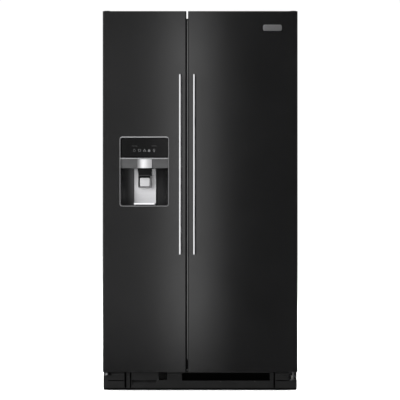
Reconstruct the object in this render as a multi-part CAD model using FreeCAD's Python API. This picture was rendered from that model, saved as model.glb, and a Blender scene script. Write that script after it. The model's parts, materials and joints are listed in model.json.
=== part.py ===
import FreeCAD, Part

# Side by side refrigerator with an ice and water dispenser in its freezer door, in millimetres.
# Facing the doors, +X is to the right, +Y runs back to the wall and +Z is up. The origin lies on the
# floor at the centre of the outline. Each function returns the nodes of one sub-assembly, and every
# node is written to parts/NODE.step.

import math
import os

V = FreeCAD.Vector

# ---- driving dimensions -------------------------------------------------------------------------
WIDTH = 908.0
HEIGHT = 1778.0
DEPTH = 857.0
HANDLE_REACH = 60.0
DOOR_THICK = 60.0
SEAL_THICK = 8.0
DOOR_Z = (91.0, 1772.0)
CABINET_TOP = 1746.0
DECK_Z = 94.0
DOOR_GAP_X = -60.4
DOOR_GAP = 8.0

SIDE = WIDTH / 2
Y_HANDLE = -DEPTH / 2
Y_DOOR = Y_HANDLE + HANDLE_REACH
Y_DOOR_BACK = Y_DOOR + DOOR_THICK
Y_CABINET = Y_DOOR_BACK + SEAL_THICK
Y_BACK = DEPTH / 2

SHEET = 1.5
LINER = 2.0
FLANGE = 40.0
MULLION = 56.0
FREEZER_WALL = 57.0
FRIDGE_WALL = 48.0
FREEZER_X = (-SIDE + FREEZER_WALL, DOOR_GAP_X - MULLION / 2)
FRIDGE_X = (DOOR_GAP_X + MULLION / 2, SIDE - FRIDGE_WALL)
ROOM_Z = (140.0, 1694.0)
ROOM_BACK = 372.0
STEP_Y = 142.0
STEP_Z = 320.0
DRAWER_ZONE_TOP = 640.0
DRAWER_INSET = 40.0
DRAWER_WALL_Y = (-200.0, 292.0)
MACHINE_Y = 190.0
MACHINE_TOP = 272.0
SHELL_FOOT = 22.0

SHELF_Y = (-185.0, 292.0)
FREEZER_LEVELS = (640.0, 960.0, 1296.0)
FRIDGE_LEVELS = (640.0, 880.0, 1120.0, 1380.0)
LEDGE = 8.0
SHELF_THICK = 12.0
DRAWER_FRONT = -165.0

FREEZER_DOOR_X = (-SIDE, DOOR_GAP_X - DOOR_GAP / 2)
FRIDGE_DOOR_X = (DOOR_GAP_X + DOOR_GAP / 2, SIDE)
HINGE_INSET = 19.0
HINGE_X = SIDE - HINGE_INSET
HINGE_Y = Y_DOOR + 30.0
PIN_R = 6.0
PIN_CLEAR = 0.2
SKIN = 1.2
DYKE_WIDE = 24.0
DYKE_DEEP = 40.0
BIN_DEEP = 96.0

HANDLE_X = {"freezer": -91.0, "fridge": -26.0}
HANDLE_Z = (641.0, 1472.0)
HANDLE_WIDE = 14.0
HANDLE_THICK = 18.0

DISP_X = -260.0
DISP_WIDE = 231.0
DISP_Z = (861.5, 1187.5)
DISP_RIM = 4.5
DISP_BAR_Z = (1083.2, 1088.0)
BROW_Z = (1041.0, 1082.5)
DISP_DEEP = 98.0
BULGE_Z = (850.0, 1300.0)
BULGE_DEEP = 65.0


# ---- helpers ------------------------------------------------------------------------------------
def box(x, y, z):
    """A block from its (low, high) pairs."""
    return Part.makeBox(x[1] - x[0], y[1] - y[0], z[1] - z[0], V(x[0], y[0], z[0]))


def rod(start, axis, radius, length):
    """A round bar."""
    return Part.makeCylinder(radius, length, V(*start), V(*axis))


def about(centre, size):
    """The (low, high) pair of a span round its centre."""
    return (centre - size / 2, centre + size / 2)


def inset(span, by):
    """A (low, high) pair moved in by the same amount at both ends."""
    return (span[0] + by, span[1] - by)


def prism(plane, points, span):
    """A polygon drawn in the plane xy, xz or yz, and extruded over a span of the third axis."""
    place = {
        "xy": lambda a, b, s: V(a, b, s),
        "xz": lambda a, b, s: V(a, s, b),
        "yz": lambda a, b, s: V(s, a, b),
    }[plane]
    corners = [place(a, b, span[0]) for a, b in points]
    face = Part.Face(Part.makePolygon(corners + corners[:1]))
    return face.extrude(place(0, 0, span[1] - span[0]))


def rounded(x, y, z, radius, axis="z", keep=None):
    """A block whose edges along one axis are rounded, all of them or those that keep() picks."""
    block = box(x, y, z)
    along = {"x": V(1, 0, 0), "y": V(0, 1, 0), "z": V(0, 0, 1)}[axis]
    edges = []
    for edge in block.Edges:
        direction = edge.tangentAt(edge.FirstParameter)
        if abs(direction.dot(along)) > 0.99 and (keep is None or keep(edge.CenterOfMass)):
            edges.append(edge)
    return block.makeFillet(radius, edges)


def tray(x, y, z, wall, corner):
    """An open-topped bin with rounded upright corners."""
    hollow = rounded(inset(x, wall), inset(y, wall), (z[0] + wall, z[1] + 1), corner - wall)
    return rounded(x, y, z, corner).cut(hollow)


def fuse(*shapes):
    """Several overlapping or touching shapes as one clean solid."""
    return shapes[0].fuse(list(shapes[1:])).removeSplitter()


def cut(shape, *tools):
    """A shape without its tools."""
    return shape.cut(list(tools))


def group(shapes):
    """Separate solids in one node."""
    return Part.makeCompound([solid for shape in shapes for solid in shape.Solids])


def mirrored(shape):
    """The same piece for the other side of the appliance."""
    return shape.mirror(V(0, 0, 0), V(1, 0, 0))


def both_sides(shape):
    """A right-hand piece and its mirror image."""
    return [shape, mirrored(shape)]


def bent_tube(points, radius, bend):
    """A tube along straight runs joined by tangent arcs of one radius."""
    corners = [V(*p) for p in points]
    path, start = [], corners[0]
    for before, corner, after in zip(corners, corners[1:], corners[2:]):
        back, ahead = (before - corner).normalize(), (after - corner).normalize()
        reach = bend / math.tan(back.getAngle(ahead) / 2)
        first, last = corner + back * reach, corner + ahead * reach
        half = (back + ahead).normalize()
        middle = corner + half * (math.hypot(bend, reach) - bend)
        path.append(Part.makeLine(start, first))
        path.append(Part.Arc(first, middle, last).toShape())
        start = last
    path.append(Part.makeLine(start, corners[-1]))
    ring = Part.makeCircle(radius, corners[0], corners[1] - corners[0])
    return Part.Wire(path).makePipeShell([Part.Wire(ring)], True, True)


def fan(centre, axis, hub_r, tip_r, blades, wide, deep):
    """A hub with flat pitched blades, turning about its axis."""
    pitch, blade_thick = 28.0, 2.0
    pieces = [Part.makeCylinder(hub_r, deep, V(0, 0, -deep / 2), V(0, 0, 1))]
    for i in range(blades):
        blade = box((hub_r * 0.8, tip_r), about(0, wide), about(0, blade_thick))
        blade.rotate(V(0, 0, 0), V(1, 0, 0), pitch)
        blade.rotate(V(0, 0, 0), V(0, 0, 1), 360.0 * i / blades)
        pieces.append(blade)
    shape = fuse(*pieces)
    turn = FreeCAD.Rotation(V(0, 0, 1), V(*axis))
    shape.Placement = FreeCAD.Placement(V(*centre), turn)
    return shape


# ---- cabinet ------------------------------------------------------------------------------------
def room(x, hinge_side, grow=0.0):
    """The free space of a compartment, or the liner's outside when grown by the liner's thickness.

    The floor steps up over the machine space, and the wall beside the hinge steps in beside the drawers
    so that they clear the open door.
    """
    far = 1000.0
    step_y = (DRAWER_WALL_Y[0] + grow, DRAWER_WALL_Y[1] - grow)
    space = box(
        (x[0] - grow, x[1] + grow),
        (Y_CABINET, ROOM_BACK + grow),
        (ROOM_Z[0] - grow, ROOM_Z[1] + grow),
    )
    step = box((-far, far), (STEP_Y + grow, far), (0, STEP_Z - grow))
    if hinge_side < 0:
        side = (-far, x[0] + DRAWER_INSET - grow)
    else:
        side = (x[1] - DRAWER_INSET + grow, far)
    wall_step = box(side, step_y, (0, DRAWER_ZONE_TOP - 20 - grow))
    return cut(space, step, wall_step)


def ledges(x, levels, y, wide):
    """Moulded ribs on both side walls of a liner that carry its shelves or drawers."""
    ribs = []
    for level in levels:
        z = (level - LEDGE, level)
        ribs.append(box((x[0], x[0] + wide), y, z))
        ribs.append(box((x[1] - wide, x[1]), y, z))
    return ribs


def liner(x, hinge_side, levels, drawer_levels):
    """A compartment's inner wall, with its front lip, shelf ribs and drawer ribs."""
    if hinge_side < 0:
        lip_x = (-SIDE + FLANGE + 0.5, x[1] + 2 - 0.5)
        narrow = (x[0] + DRAWER_INSET, x[1])
    else:
        lip_x = (x[0] - 2 + 0.5, SIDE - FLANGE - 0.5)
        narrow = (x[0], x[1] - DRAWER_INSET)
    lip = box(lip_x, (Y_CABINET, Y_CABINET + SHEET), (126.5, CABINET_TOP - FLANGE - 0.5))
    free = room(x, hinge_side)
    skin = cut(room(x, hinge_side, LINER), free)
    return fuse(
        skin,
        cut(lip, free),
        *ledges(x, levels, (SHELF_Y[0] + 15, SHELF_Y[1] - 12), LEDGE),
        *ledges(narrow, drawer_levels, (DRAWER_FRONT + 10, 125.0), 2 * LEDGE),
    )


def cabinet():
    outer_z = (SHELL_FOOT, CABINET_TOP)
    shell = cut(
        box((-SIDE, SIDE), (Y_CABINET, Y_BACK), outer_z),
        box(inset((-SIDE, SIDE), SHEET), (Y_CABINET + SHEET, Y_BACK + 1), (0, CABINET_TOP - SHEET)),
        box(inset((-SIDE, SIDE), FLANGE), (Y_CABINET - 1, Y_BACK), (0, CABINET_TOP - FLANGE)),
    )
    inside = inset((-SIDE, SIDE), SHEET)
    foam_y = (Y_CABINET + SHEET, Y_BACK - SHEET)
    insulation = cut(
        box(inside, foam_y, (DECK_Z, CABINET_TOP - SHEET)),
        room(FREEZER_X, -1, LINER),
        room(FRIDGE_X, 1, LINER),
        box(inside, (MACHINE_Y - SHEET, Y_BACK), (DECK_Z, MACHINE_TOP)),
    )
    strip = (Y_CABINET, Y_CABINET + SHEET)
    mullion = box(about(DOOR_GAP_X, MULLION - 4), strip, (96, CABINET_TOP - FLANGE - 0.5))
    sill = box(inset((-SIDE, SIDE), FLANGE + 0.5), strip, (96, 126))
    front_frame = fuse(mullion, sill)
    rear_panel = box(
        inset((-SIDE, SIDE), SHEET), (Y_BACK - SHEET, Y_BACK), (MACHINE_TOP + 1, CABINET_TOP - SHEET)
    )
    return {
        "cabinet_shell": shell,
        "cabinet_insulation": insulation,
        "front_frame": front_frame,
        "rear_panel": rear_panel,
        "machine_cover": machine_cover(),
        "freezer_liner": liner(FREEZER_X, -1, FREEZER_LEVELS, (150.0, 420.0)),
        "fridge_liner": liner(FRIDGE_X, 1, FRIDGE_LEVELS, (150.0, 440.0)),
    }


def machine_cover():
    """The lower back cover, with air slots, a gap for the water connection and a cable gland."""
    cover = box((-450, 450), (Y_BACK - SHEET, Y_BACK), (34, MACHINE_TOP))
    gland = (400, Y_BACK - 5, 210)
    through = (Y_BACK - SHEET - 1, Y_BACK + 1)
    slot_wide, slot_high, pitch = 62.0, 6.0, 16.0
    slots = [
        box(about(column, slot_wide), through, about(70 + row * pitch, slot_high))
        for column in (-225, -145, -65, 15, 225, 305)
        for row in range(11)
    ]
    slots.append(box(about(-385, 60), through, (100, 160)))
    slots.append(rod(gland, (0, 1, 0), 5, 10))
    return cut(fuse(cover, rod(gland, (0, 1, 0), 11, 5)), *slots)


# ---- chassis and machine space ------------------------------------------------------------------
AXLE_R = 4.0
ROLLER_X = 410.0
REAR_ROLLER = {"y": 360.0, "z": 22.0, "r": 22.0}
FRONT_ROLLER = {"y": -235.0, "z": 25.0, "r": 20.0}
ROLLER_WIDE = 24.0
RAIL_Z = (28.0, 92.5)
TRAY_Z = (30.0, 32.0)
FAN_X = -20.0
FAN_YZ = (310.0, 130.0)
FILTER_X = -257.5
FILTER_Z = 66.0
FILTER_R = 18.0


def roller_bracket(place):
    """The steel hanger and axle of the right-hand roller."""
    y = about(place["y"], 50)
    z = (place["z"] - 10, place["z"] + 30)
    top = box((ROLLER_X - 20, SIDE - 3), y, (z[1] - 2, z[1]))
    cheeks = [box((x, x + 2), y, z) for x in (ROLLER_X - 20, ROLLER_X + 18)]
    axle = rod((ROLLER_X - 19, place["y"], place["z"]), (1, 0, 0), AXLE_R, 38)
    return fuse(top, *cheeks, axle)


def rollers(place):
    """A pair of wheels that turn on one line."""
    start = (ROLLER_X - ROLLER_WIDE / 2, place["y"], place["z"])
    wheel = rod(start, (1, 0, 0), place["r"], ROLLER_WIDE)
    bore = rod(start, (1, 0, 0), AXLE_R + 0.06, ROLLER_WIDE)
    return group(both_sides(cut(wheel, bore)))


def base_frame():
    """The folded deck with its side rails, cross rails, compressor tray and fan motor."""
    deck = prism(
        "yz",
        [
            (Y_CABINET + SHEET, DECK_Z - SHEET),
            (MACHINE_Y, DECK_Z - SHEET),
            (MACHINE_Y, MACHINE_TOP - SHEET),
            (Y_BACK - SHEET, MACHINE_TOP - SHEET),
            (Y_BACK - SHEET, MACHINE_TOP),
            (MACHINE_Y - SHEET, MACHINE_TOP),
            (MACHINE_Y - SHEET, DECK_Z),
            (Y_CABINET + SHEET, DECK_Z),
        ],
        (-SIDE + 2, SIDE - 2),
    )
    rail_y = (Y_CABINET + 3, Y_BACK - 4)
    web = box((SIDE - 4, SIDE - 2), rail_y, RAIL_Z)
    foot = box((SIDE - 16, SIDE - 2), rail_y, (RAIL_Z[0], RAIL_Z[0] + 2))
    hangers = [roller_bracket(FRONT_ROLLER), roller_bracket(REAR_ROLLER)]
    sides = [part for piece in (web, foot, *hangers) for part in both_sides(piece)]
    wide = (-SIDE + 3, SIDE - 3)
    front_rail = box(wide, (Y_CABINET + 3, Y_CABINET + 5), (44, RAIL_Z[1] + 0.5))
    middle_rail = box(wide, (MACHINE_Y, MACHINE_Y + 2), (RAIL_Z[0], 110))
    rear_rail = box(wide, (Y_BACK - 6, Y_BACK - 4), (RAIL_Z[0], 33))
    compressor_tray = box((-380, 380), (MACHINE_Y, Y_BACK - 4), TRAY_Z)
    motor_start = (FAN_X + 22, *FAN_YZ)
    motor = rod(motor_start, (1, 0, 0), 24, 45)
    pedestal = box((FAN_X + 30, FAN_X + 33), about(FAN_YZ[0], 60), (TRAY_Z[0], FAN_YZ[1]))
    filter_head = box(about(FILTER_X, 60), (-72, -40), (36, DECK_Z - SHEET + 0.5))
    frame = fuse(
        deck, *sides, front_rail, middle_rail, rear_rail, compressor_tray, motor, pedestal, filter_head
    )
    filter_hole = rod((FILTER_X, Y_CABINET, FILTER_Z), (0, 1, 0), FILTER_R + 3, 20)
    return cut(frame, filter_hole)


def compressor():
    """A welded steel dome on a foot plate, with four rubber feet and a start box."""
    x, y = 215.0, 308.0
    dome_z = (50.0, 205.0)
    dome = rod((x, y, dome_z[0]), (0, 0, 1), 78, dome_z[1] - dome_z[0])
    rims = [e for e in dome.Edges if e.Closed and len(e.Vertexes) == 1]
    dome = dome.makeFillet(34, rims)
    plate = rounded(about(x, 190), about(y, 150), (44, 52), 18)
    start_box = rounded((x + 70, x + 100), about(y, 70), (90, 165), 6, "x")
    seam = rod((x, y, 124), (0, 0, 1), 81, 6)
    body = fuse(dome, plate, start_box, seam)
    feet = [
        rod((x + dx, y + dy, TRAY_Z[1]), (0, 0, 1), 12, 44 - TRAY_Z[1])
        for dx in (-75, 75)
        for dy in (-55, 55)
    ]
    return group([body, *feet])


def condenser():
    """Stacked serpentine layers of bare tube beside the fan."""
    x, pitch, passes = (-350.0, -100.0), 34.0, 6
    layers = []
    for y in (225.0, 262.0, 299.0, 336.0, 373.0):
        points = []
        for i in range(passes):
            ends = x if i % 2 == 0 else x[::-1]
            points += [(ends[0], y, 46 + i * pitch), (ends[1], y, 46 + i * pitch)]
        layers.append(bent_tube(points, 3.2, pitch * 0.48))
    return layers


def evaporator():
    """A finned tube pack behind the freezer's back cover."""
    x, z = (-372.0, -112.0), (372.0, 842.0)
    fin_y = (312.0, 364.0)
    fins = [box((at, at + 1), fin_y, z) for at in range(-365, -115, 14)]
    tubes = [
        rod((x[0], y, z[0] + 30 + i * 58), (1, 0, 0), 4.5, x[1] - x[0])
        for y in (326.0, 350.0)
        for i in range(8)
    ]
    return fuse(*fins, *tubes)


def water_valve():
    """The inlet valve behind the machine cover's gap, with a threaded spigot for the supply line."""
    x, z = -385.0, 130.0
    body = rounded(about(x, 40), (352, 400), about(z, 44), 5, "y")
    coil = rod((x, 376, z + 20), (0, 0, 1), 15, 34)
    spigot = rod((x, 398, z), (0, 1, 0), 9.5, 12)
    nipple = rod((x, 408, z), (0, 1, 0), 5.5, Y_BACK - 408)
    bracket = box(about(x, 56), (350, 353), (DECK_Z + 6, 175))
    foot = box(about(x, 56), (330, 353), (MACHINE_TOP - 100, 175))
    return fuse(body, coil, spigot, nipple, bracket, foot)


def machine_space():
    fan_shape = fan((FAN_X, *FAN_YZ), (1, 0, 0), 16, 68, 5, 44, 22)
    shaft = rod((FAN_X, *FAN_YZ), (1, 0, 0), 3, 21)
    return {
        "base_frame": base_frame(),
        "compressor": compressor(),
        "refrigerant_coils": group([*condenser(), evaporator()]),
        "water_valve": water_valve(),
        "condenser_fan": fuse(fan_shape, shaft),
        "front_rollers": rollers(FRONT_ROLLER),
        "rear_rollers": rollers(REAR_ROLLER),
        **{f"leveling_foot_{side}": foot for side, foot in leveling_feet().items()},
    }


FOOT_X = 433.0
FOOT_Y = -306.0


def leveling_feet():
    """The two screwed front feet."""
    pad = rod((FOOT_X, FOOT_Y, 0), (0, 0, 1), 15, 8)
    nut = prism("xy", hexagon((FOOT_X, FOOT_Y), 9), (8, 15))
    stem = rod((FOOT_X, FOOT_Y, 10), (0, 0, 1), 5, 56)
    foot = fuse(pad, nut, stem)
    return {"right": foot, "left": mirrored(foot)}


# ---- base grille and water filter ---------------------------------------------------------------
GRILLE_X = (-453.5, 453.5)
GRILLE_Y = (-325.0, -321.0)
GRILLE_Z = (10.0, 88.0)
SWEEP_Y = (-324.0, -322.0)
SWEEP_Z = (2.0, 10.5)
GRILLE_SEAM_Z = (43.5, 47.5)
GRILLE_RIDGE_Z = 73.4
GRILLE_WALL = 1.5
VENT_X = (-85.0, 327.0)
VENT_Z = (45.0, 81.0)
FILTER_OPENING_X = (-320.0, -195.0)
SCOOP_Z = (26.0, 46.0)
BUTTON_POCKET_X = (-193.0, -156.0)
BUTTON_POCKET_Z = (48.0, 84.0)
BUTTON_POCKET_DEEP = 11.0
BUTTON_X = (-190.0, -162.0)
BUTTON_Z = (54.0, 80.0)
GROOVES_X = ((-355.0, -346.0), (-329.0, -323.0), (344.0, 351.0))


def grille_pocket(x, z, deep):
    """The closed channel behind an opening in the kick plate."""
    y = (GRILLE_Y[1] - 0.5, GRILLE_Y[1] + deep)
    outer = box(inset(x, -GRILLE_WALL), y, inset(z, -GRILLE_WALL))
    return cut(outer, box(x, (y[0] - 1, y[1] - GRILLE_WALL), z))


def finger_scoop():
    """The sloped floor and the cheeks of the finger recess below the filter's grip plate."""
    y, z = GRILLE_Y[1] - 1, (SCOOP_Z[0] - 2, SCOOP_Z[1])
    x = (FILTER_OPENING_X[0], FILTER_OPENING_X[1] - 10)
    floor = prism("yz", [(y, z[0]), (y + 2.5, z[0]), (y + 17, z[1]), (y + 14, z[1])], inset(x, -2))
    cheeks = [
        prism("yz", [(y, z[0]), (y + 14, z[1]), (y, z[1])], span)
        for span in ((x[0] - 2, x[0]), (x[1], x[1] + 2))
    ]
    return [floor, *cheeks]


def vent_slats():
    """The fins of the air opening, set well back, with their end plates and ribs."""
    y = (GRILLE_Y[1] + 7, Y_CABINET - 6)
    ring_y = (GRILLE_Y[1] - 0.5, y[1])
    slats = [box(inset(VENT_X, -2), y, (z, z + 2)) for z in (51, 58, 65, 72)]
    ends = [box((x, x + 2), ring_y, VENT_Z) for x in (VENT_X[0] - 2, VENT_X[1])]
    ribs = [box((x, x + 2.5), y, VENT_Z) for x in range(-30, 327, 58)]
    sill = box(inset(VENT_X, -2), ring_y, (VENT_Z[0] - 2, VENT_Z[0]))
    ceiling = box(inset(VENT_X, -2), ring_y, (VENT_Z[1], VENT_Z[1] + 2))
    return [*slats, *ends, *ribs, sill, ceiling]


def base_grille():
    """The kick plate: grooved end panels, an air opening, the filter's opening and a floor sweep."""
    plate = box(GRILLE_X, GRILLE_Y, GRILLE_Z)
    lip = box((-412, 412), (GRILLE_Y[1], Y_CABINET - 3), (GRILLE_Z[1] - 2, GRILLE_Z[1]))
    sweep = box(inset(GRILLE_X, 1), SWEEP_Y, SWEEP_Z)
    ridges = [
        rounded(x, (GRILLE_Y[0] - 1.2, GRILLE_Y[0] + 1), about(GRILLE_RIDGE_Z, 3.5), 1, "x",
                lambda c: c.y < GRILLE_Y[0])
        for x in ((-414, -357), (-153, -88), (354, 415))
    ]
    through = (GRILLE_Y[0] - 3, GRILLE_Y[1] + 1)
    groove_z = inset(GRILLE_Z, GRILLE_WALL)
    seams_x = ((-432, -357), (353, 417))
    scoop_x = (FILTER_OPENING_X[0], FILTER_OPENING_X[1] - 10)
    scoop_face = [
        (scoop_x[0], SCOOP_Z[1]), (scoop_x[1], SCOOP_Z[1]),
        (scoop_x[1] - 11, SCOOP_Z[0]), (scoop_x[0], SCOOP_Z[0]),
    ]
    grille = cut(
        fuse(plate, lip, sweep, *ridges),
        box((-460, -417), through, (70.5, 100)),
        box((418, 460), through, (GRILLE_SEAM_Z[1], 100)),
        box(VENT_X, through, VENT_Z),
        box(FILTER_OPENING_X, through, (SCOOP_Z[1], GRILLE_Z[1] - 2)),
        box(BUTTON_POCKET_X, through, BUTTON_POCKET_Z),
        *[box(x, through, groove_z) for x in GROOVES_X],
        *[box(x, through, GRILLE_SEAM_Z) for x in seams_x],
        prism("xz", scoop_face, through),
    )
    button_pocket = cut(
        grille_pocket(BUTTON_POCKET_X, BUTTON_POCKET_Z, BUTTON_POCKET_DEEP),
        box(inset(BUTTON_X, -1.0), (-400, 0), inset(BUTTON_Z, -1.0)),
    )
    pockets = [grille_pocket(x, groove_z, 9.0) for x in GROOVES_X]
    pockets += [grille_pocket(x, GRILLE_SEAM_Z, 3.0) for x in seams_x]
    return fuse(grille, *vent_slats(), *finger_scoop(), button_pocket, *pockets)


def water_filter():
    """A cartridge that slides out through the grille, with its grip plate."""
    plate_x = inset(FILTER_OPENING_X, 1.2)
    plate = rounded(plate_x, (-327, -319), (47.2, 84.8), 2.5, "y")
    barrel = rod((FILTER_X, -319, FILTER_Z), (0, 1, 0), FILTER_R, 236)
    neck = rod((FILTER_X, -83, FILTER_Z), (0, 1, 0), 10, 9)
    return fuse(plate, barrel, neck)


def kick_area():
    button = rounded(BUTTON_X, (-319, -304), BUTTON_Z, 3, "y")
    return {
        "base_grille": base_grille(),
        "water_filter": water_filter(),
        "filter_button": button,
    }


# ---- hinges -------------------------------------------------------------------------------------
LEAF_TOP_Z = (1773.0, 1776.0)
LEAF_LOW_Z = {"left": (72.0, 76.0), "right": (50.0, 54.0)}
CAM_Z = {"left": (76.0, 89.5), "right": (86.0, 89.5)}
CAM_R = {"left": 8.0, "right": 9.5}
NECK_R = 4.5
PIN_TOP_END = 1744.0
PIN_LOW_END = 118.0


def upper_bracket(leaf_x):
    """The right-hand upper bracket, bent over the cabinet's front edge, with its pin."""
    y = (HINGE_Y - 13, Y_CABINET + 14)
    leaf = rounded(leaf_x, y, LEAF_TOP_Z, 12, "z", lambda c: c.y < HINGE_Y)
    riser = box(leaf_x, (Y_CABINET + 11, Y_CABINET + 14), (CABINET_TOP, LEAF_TOP_Z[1]))
    base_x = (HINGE_X - 40, HINGE_X + 15)
    base = box(base_x, (Y_CABINET + 11, Y_CABINET + 80), (CABINET_TOP, CABINET_TOP + 3))
    pin = rod((HINGE_X, HINGE_Y, PIN_TOP_END), (0, 0, 1), PIN_R, LEAF_TOP_Z[0] - PIN_TOP_END)
    return fuse(leaf, riser, base, pin)


def lower_bracket(leaf_x, side):
    """A lower bracket in its right-hand place, with its stepped pin and the levelling foot's lug."""
    leaf_z, cam_foot = LEAF_LOW_Z[side], CAM_Z[side][0]
    leaf = rounded(leaf_x, (HINGE_Y - 13, Y_CABINET), leaf_z, 12, "z", lambda c: c.y < HINGE_Y)
    plate = box((SIDE - FLANGE + 2, SIDE - 2), (Y_CABINET - 3, Y_CABINET), (SHELL_FOOT + 6, 90))
    lug = box((FOOT_X - 12, FOOT_X + 12), (FOOT_Y - 11, Y_CABINET), (38, 44))
    neck = rod((HINGE_X, HINGE_Y, leaf_z[0]), (0, 0, 1), NECK_R, cam_foot - leaf_z[0] + 1)
    pin = rod((HINGE_X, HINGE_Y, cam_foot), (0, 0, 1), PIN_R, PIN_LOW_END - cam_foot)
    stem_hole = rod((FOOT_X, FOOT_Y, 20), (0, 0, 1), 5.15, 90)
    return cut(fuse(leaf, plate, lug, neck, pin), stem_hole)


def cam(side):
    """The collar that carries a door, in its right-hand place."""
    z = CAM_Z[side]
    ring = rod((HINGE_X, HINGE_Y, z[0]), (0, 0, 1), CAM_R[side], z[1] - z[0])
    return cut(ring, rod((HINGE_X, HINGE_Y, z[0] - 1), (0, 0, 1), PIN_R, 20))


def hinge_cover(leaf_x):
    """The moulded cap over the right-hand upper bracket."""
    x, y = (HINGE_X - 58, SIDE - 1), (Y_CABINET + 1, Y_CABINET + 104)
    shell = rounded(x, y, (CABINET_TOP, HEIGHT), 10, "z")
    top_edges = [e for e in shell.Edges if e.CenterOfMass.z > HEIGHT - 0.1 and e.Length > 1]
    shell = shell.makeFillet(4, top_edges)
    hollow = rounded(inset(x, 2.5), inset(y, 2.5), (0, HEIGHT - 1.2), 7.5, "z")
    leaf_slot = box(inset(leaf_x, -1), (y[0] - 1, y[0] + 9), (CABINET_TOP - 1, HEIGHT - 1.2))
    return cut(shell, hollow, leaf_slot)


def hinges():
    """Upper and lower brackets with their pins, cams, screws and covers, for both doors."""
    leaf_x = about(HINGE_X, 30)
    low = [lower_bracket(leaf_x, "right"), mirrored(lower_bracket(leaf_x, "left"))]
    return {
        "hinge_brackets": group([*both_sides(upper_bracket(leaf_x)), *low]),
        "hinge_cams": group([cam("right"), mirrored(cam("left"))]),
        "hinge_covers": group(both_sides(hinge_cover(leaf_x))),
        "hinge_screws": group(hinge_screws()),
    }


def hexagon(centre, radius):
    """The six corners of a screw's head or a nut."""
    return [
        (centre[0] + radius * math.cos(math.radians(a)), centre[1] + radius * math.sin(math.radians(a)))
        for a in range(0, 360, 60)
    ]


def hinge_screws():
    """Hexagon-head screws: three on each upper bracket and three on each lower one."""
    heads = []
    for dx, dy in ((-28, 30), (-28, 62), (2, 46)):
        corners = hexagon((HINGE_X + dx, Y_CABINET + dy), 6)
        heads += both_sides(prism("xy", corners, (CABINET_TOP + 3, CABINET_TOP + 8)))
    for place in ((421.0, 63.0), (447.0, 63.0), (434.0, 82.0)):
        heads += both_sides(prism("xz", hexagon(place, 5), (Y_CABINET - 7, Y_CABINET - 3)))
    return heads


# ---- doors --------------------------------------------------------------------------------------
def door_skin(x):
    """A folded steel pan: a front with rounded upright edges, two sides and two back returns."""
    y = (Y_DOOR, Y_DOOR_BACK)
    outer = rounded(x, y, DOOR_Z, 5, "z", lambda c: c.y < Y_DOOR + 1)
    inner = rounded(
        inset(x, SKIN), (Y_DOOR + SKIN, Y_DOOR_BACK - SKIN), (0, 2000), 5 - SKIN, "z",
        lambda c: c.y < Y_DOOR + 10,
    )
    back = box(inset(x, 13), (Y_DOOR_BACK - 5, Y_DOOR_BACK + 5), (0, 2000))
    return cut(outer, inner, back)


def door_caps(x, hinge_x):
    """The plastic end caps in the top and bottom of a door, each with a bore for a hinge pin."""
    caps = []
    for z in ((DOOR_Z[1] - 12, DOOR_Z[1] - 1.5), (DOOR_Z[0] + 0.5, DOOR_Z[0] + 11)):
        cap = rounded(
            inset(x, SKIN), (Y_DOOR + SKIN, Y_DOOR_BACK - SKIN), z, 5 - SKIN, "z",
            lambda c: c.y < Y_DOOR + 10,
        )
        bore = rod((hinge_x, HINGE_Y, 0), (0, 0, 1), PIN_R + PIN_CLEAR, 2000)
        caps.append(cut(cap, bore))
    return group(caps)


def door_spans(x, hinge_side):
    """Where the raised ribs stand on the inside of a door."""
    hinge_gap, free_gap = 65.0, 43.0
    if hinge_side < 0:
        low, high = x[0] + hinge_gap, x[1] - free_gap
    else:
        low, high = x[0] + free_gap, x[1] - hinge_gap
    return (low, high)


def dyke(span, shrink=0.0):
    """The raised rim round a door's inner face, less the liner's thickness where it is shrunk."""
    z = (150.0, 1684.0)
    y = (Y_DOOR_BACK - 6, Y_DOOR_BACK + DYKE_DEEP - shrink)
    outer = rounded(inset(span, shrink), y, inset(z, shrink), 14 - shrink, "y")
    wide = DYKE_WIDE - shrink
    return cut(outer, rounded(inset(span, wide), inset(y, -5), inset(z, wide), 8 + shrink, "y"))


def door_back(x, span, extra, shrink=0.0):
    """The inner face of a door as a solid: a flat sheet, the raised rim and anything extra."""
    flat = box(inset(x, 13.5), (Y_DOOR_BACK - SHEET, Y_DOOR_BACK - shrink), inset(DOOR_Z, 14))
    return fuse(flat, dyke(span, shrink), *extra) if shrink == 0 else fuse(dyke(span, shrink), *extra)


def door_liner(x, span, core, extra=()):
    """The thermoformed inner face, a skin over the foam."""
    return cut(door_back(x, span, list(extra)), core)


def door_core(x, span, hinge_x, extra=(), holes=()):
    """The door's foam, which fills the pan and the inner face's raised rim."""
    pan = rounded(
        inset(x, SKIN), (Y_DOOR + SKIN, Y_DOOR_BACK - SHEET), (DOOR_Z[0] + 11, DOOR_Z[1] - 12),
        5 - SKIN, "z", lambda c: c.y < Y_DOOR + 10,
    )
    filled = fuse(pan, dyke(span, LINER), *extra)
    pin_holes = rod((hinge_x, HINGE_Y, 0), (0, 0, 1), PIN_R + 2, 2000)
    middle = rod((hinge_x, HINGE_Y, PIN_LOW_END + 4), (0, 0, 1), PIN_R + 3, 1610)
    return cut(filled, cut(pin_holes, middle), *holes)


def gasket(x, hinge_side):
    """The magnetic seal, a closed ring that stops just short of the cabinet's face."""
    wide, free, hinge = 16.0, 4.0, 20.0
    near, far = (hinge, free) if hinge_side < 0 else (free, hinge)
    ring_x, ring_z = (x[0] + near, x[1] - far), (107.0, 1724.0)
    y = (Y_DOOR_BACK, Y_CABINET - 0.5)
    outer = rounded(ring_x, y, ring_z, 6, "y")
    inner = rounded(inset(ring_x, wide), inset(y, -1), inset(ring_z, wide), 2, "y")
    return cut(outer, inner)


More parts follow.
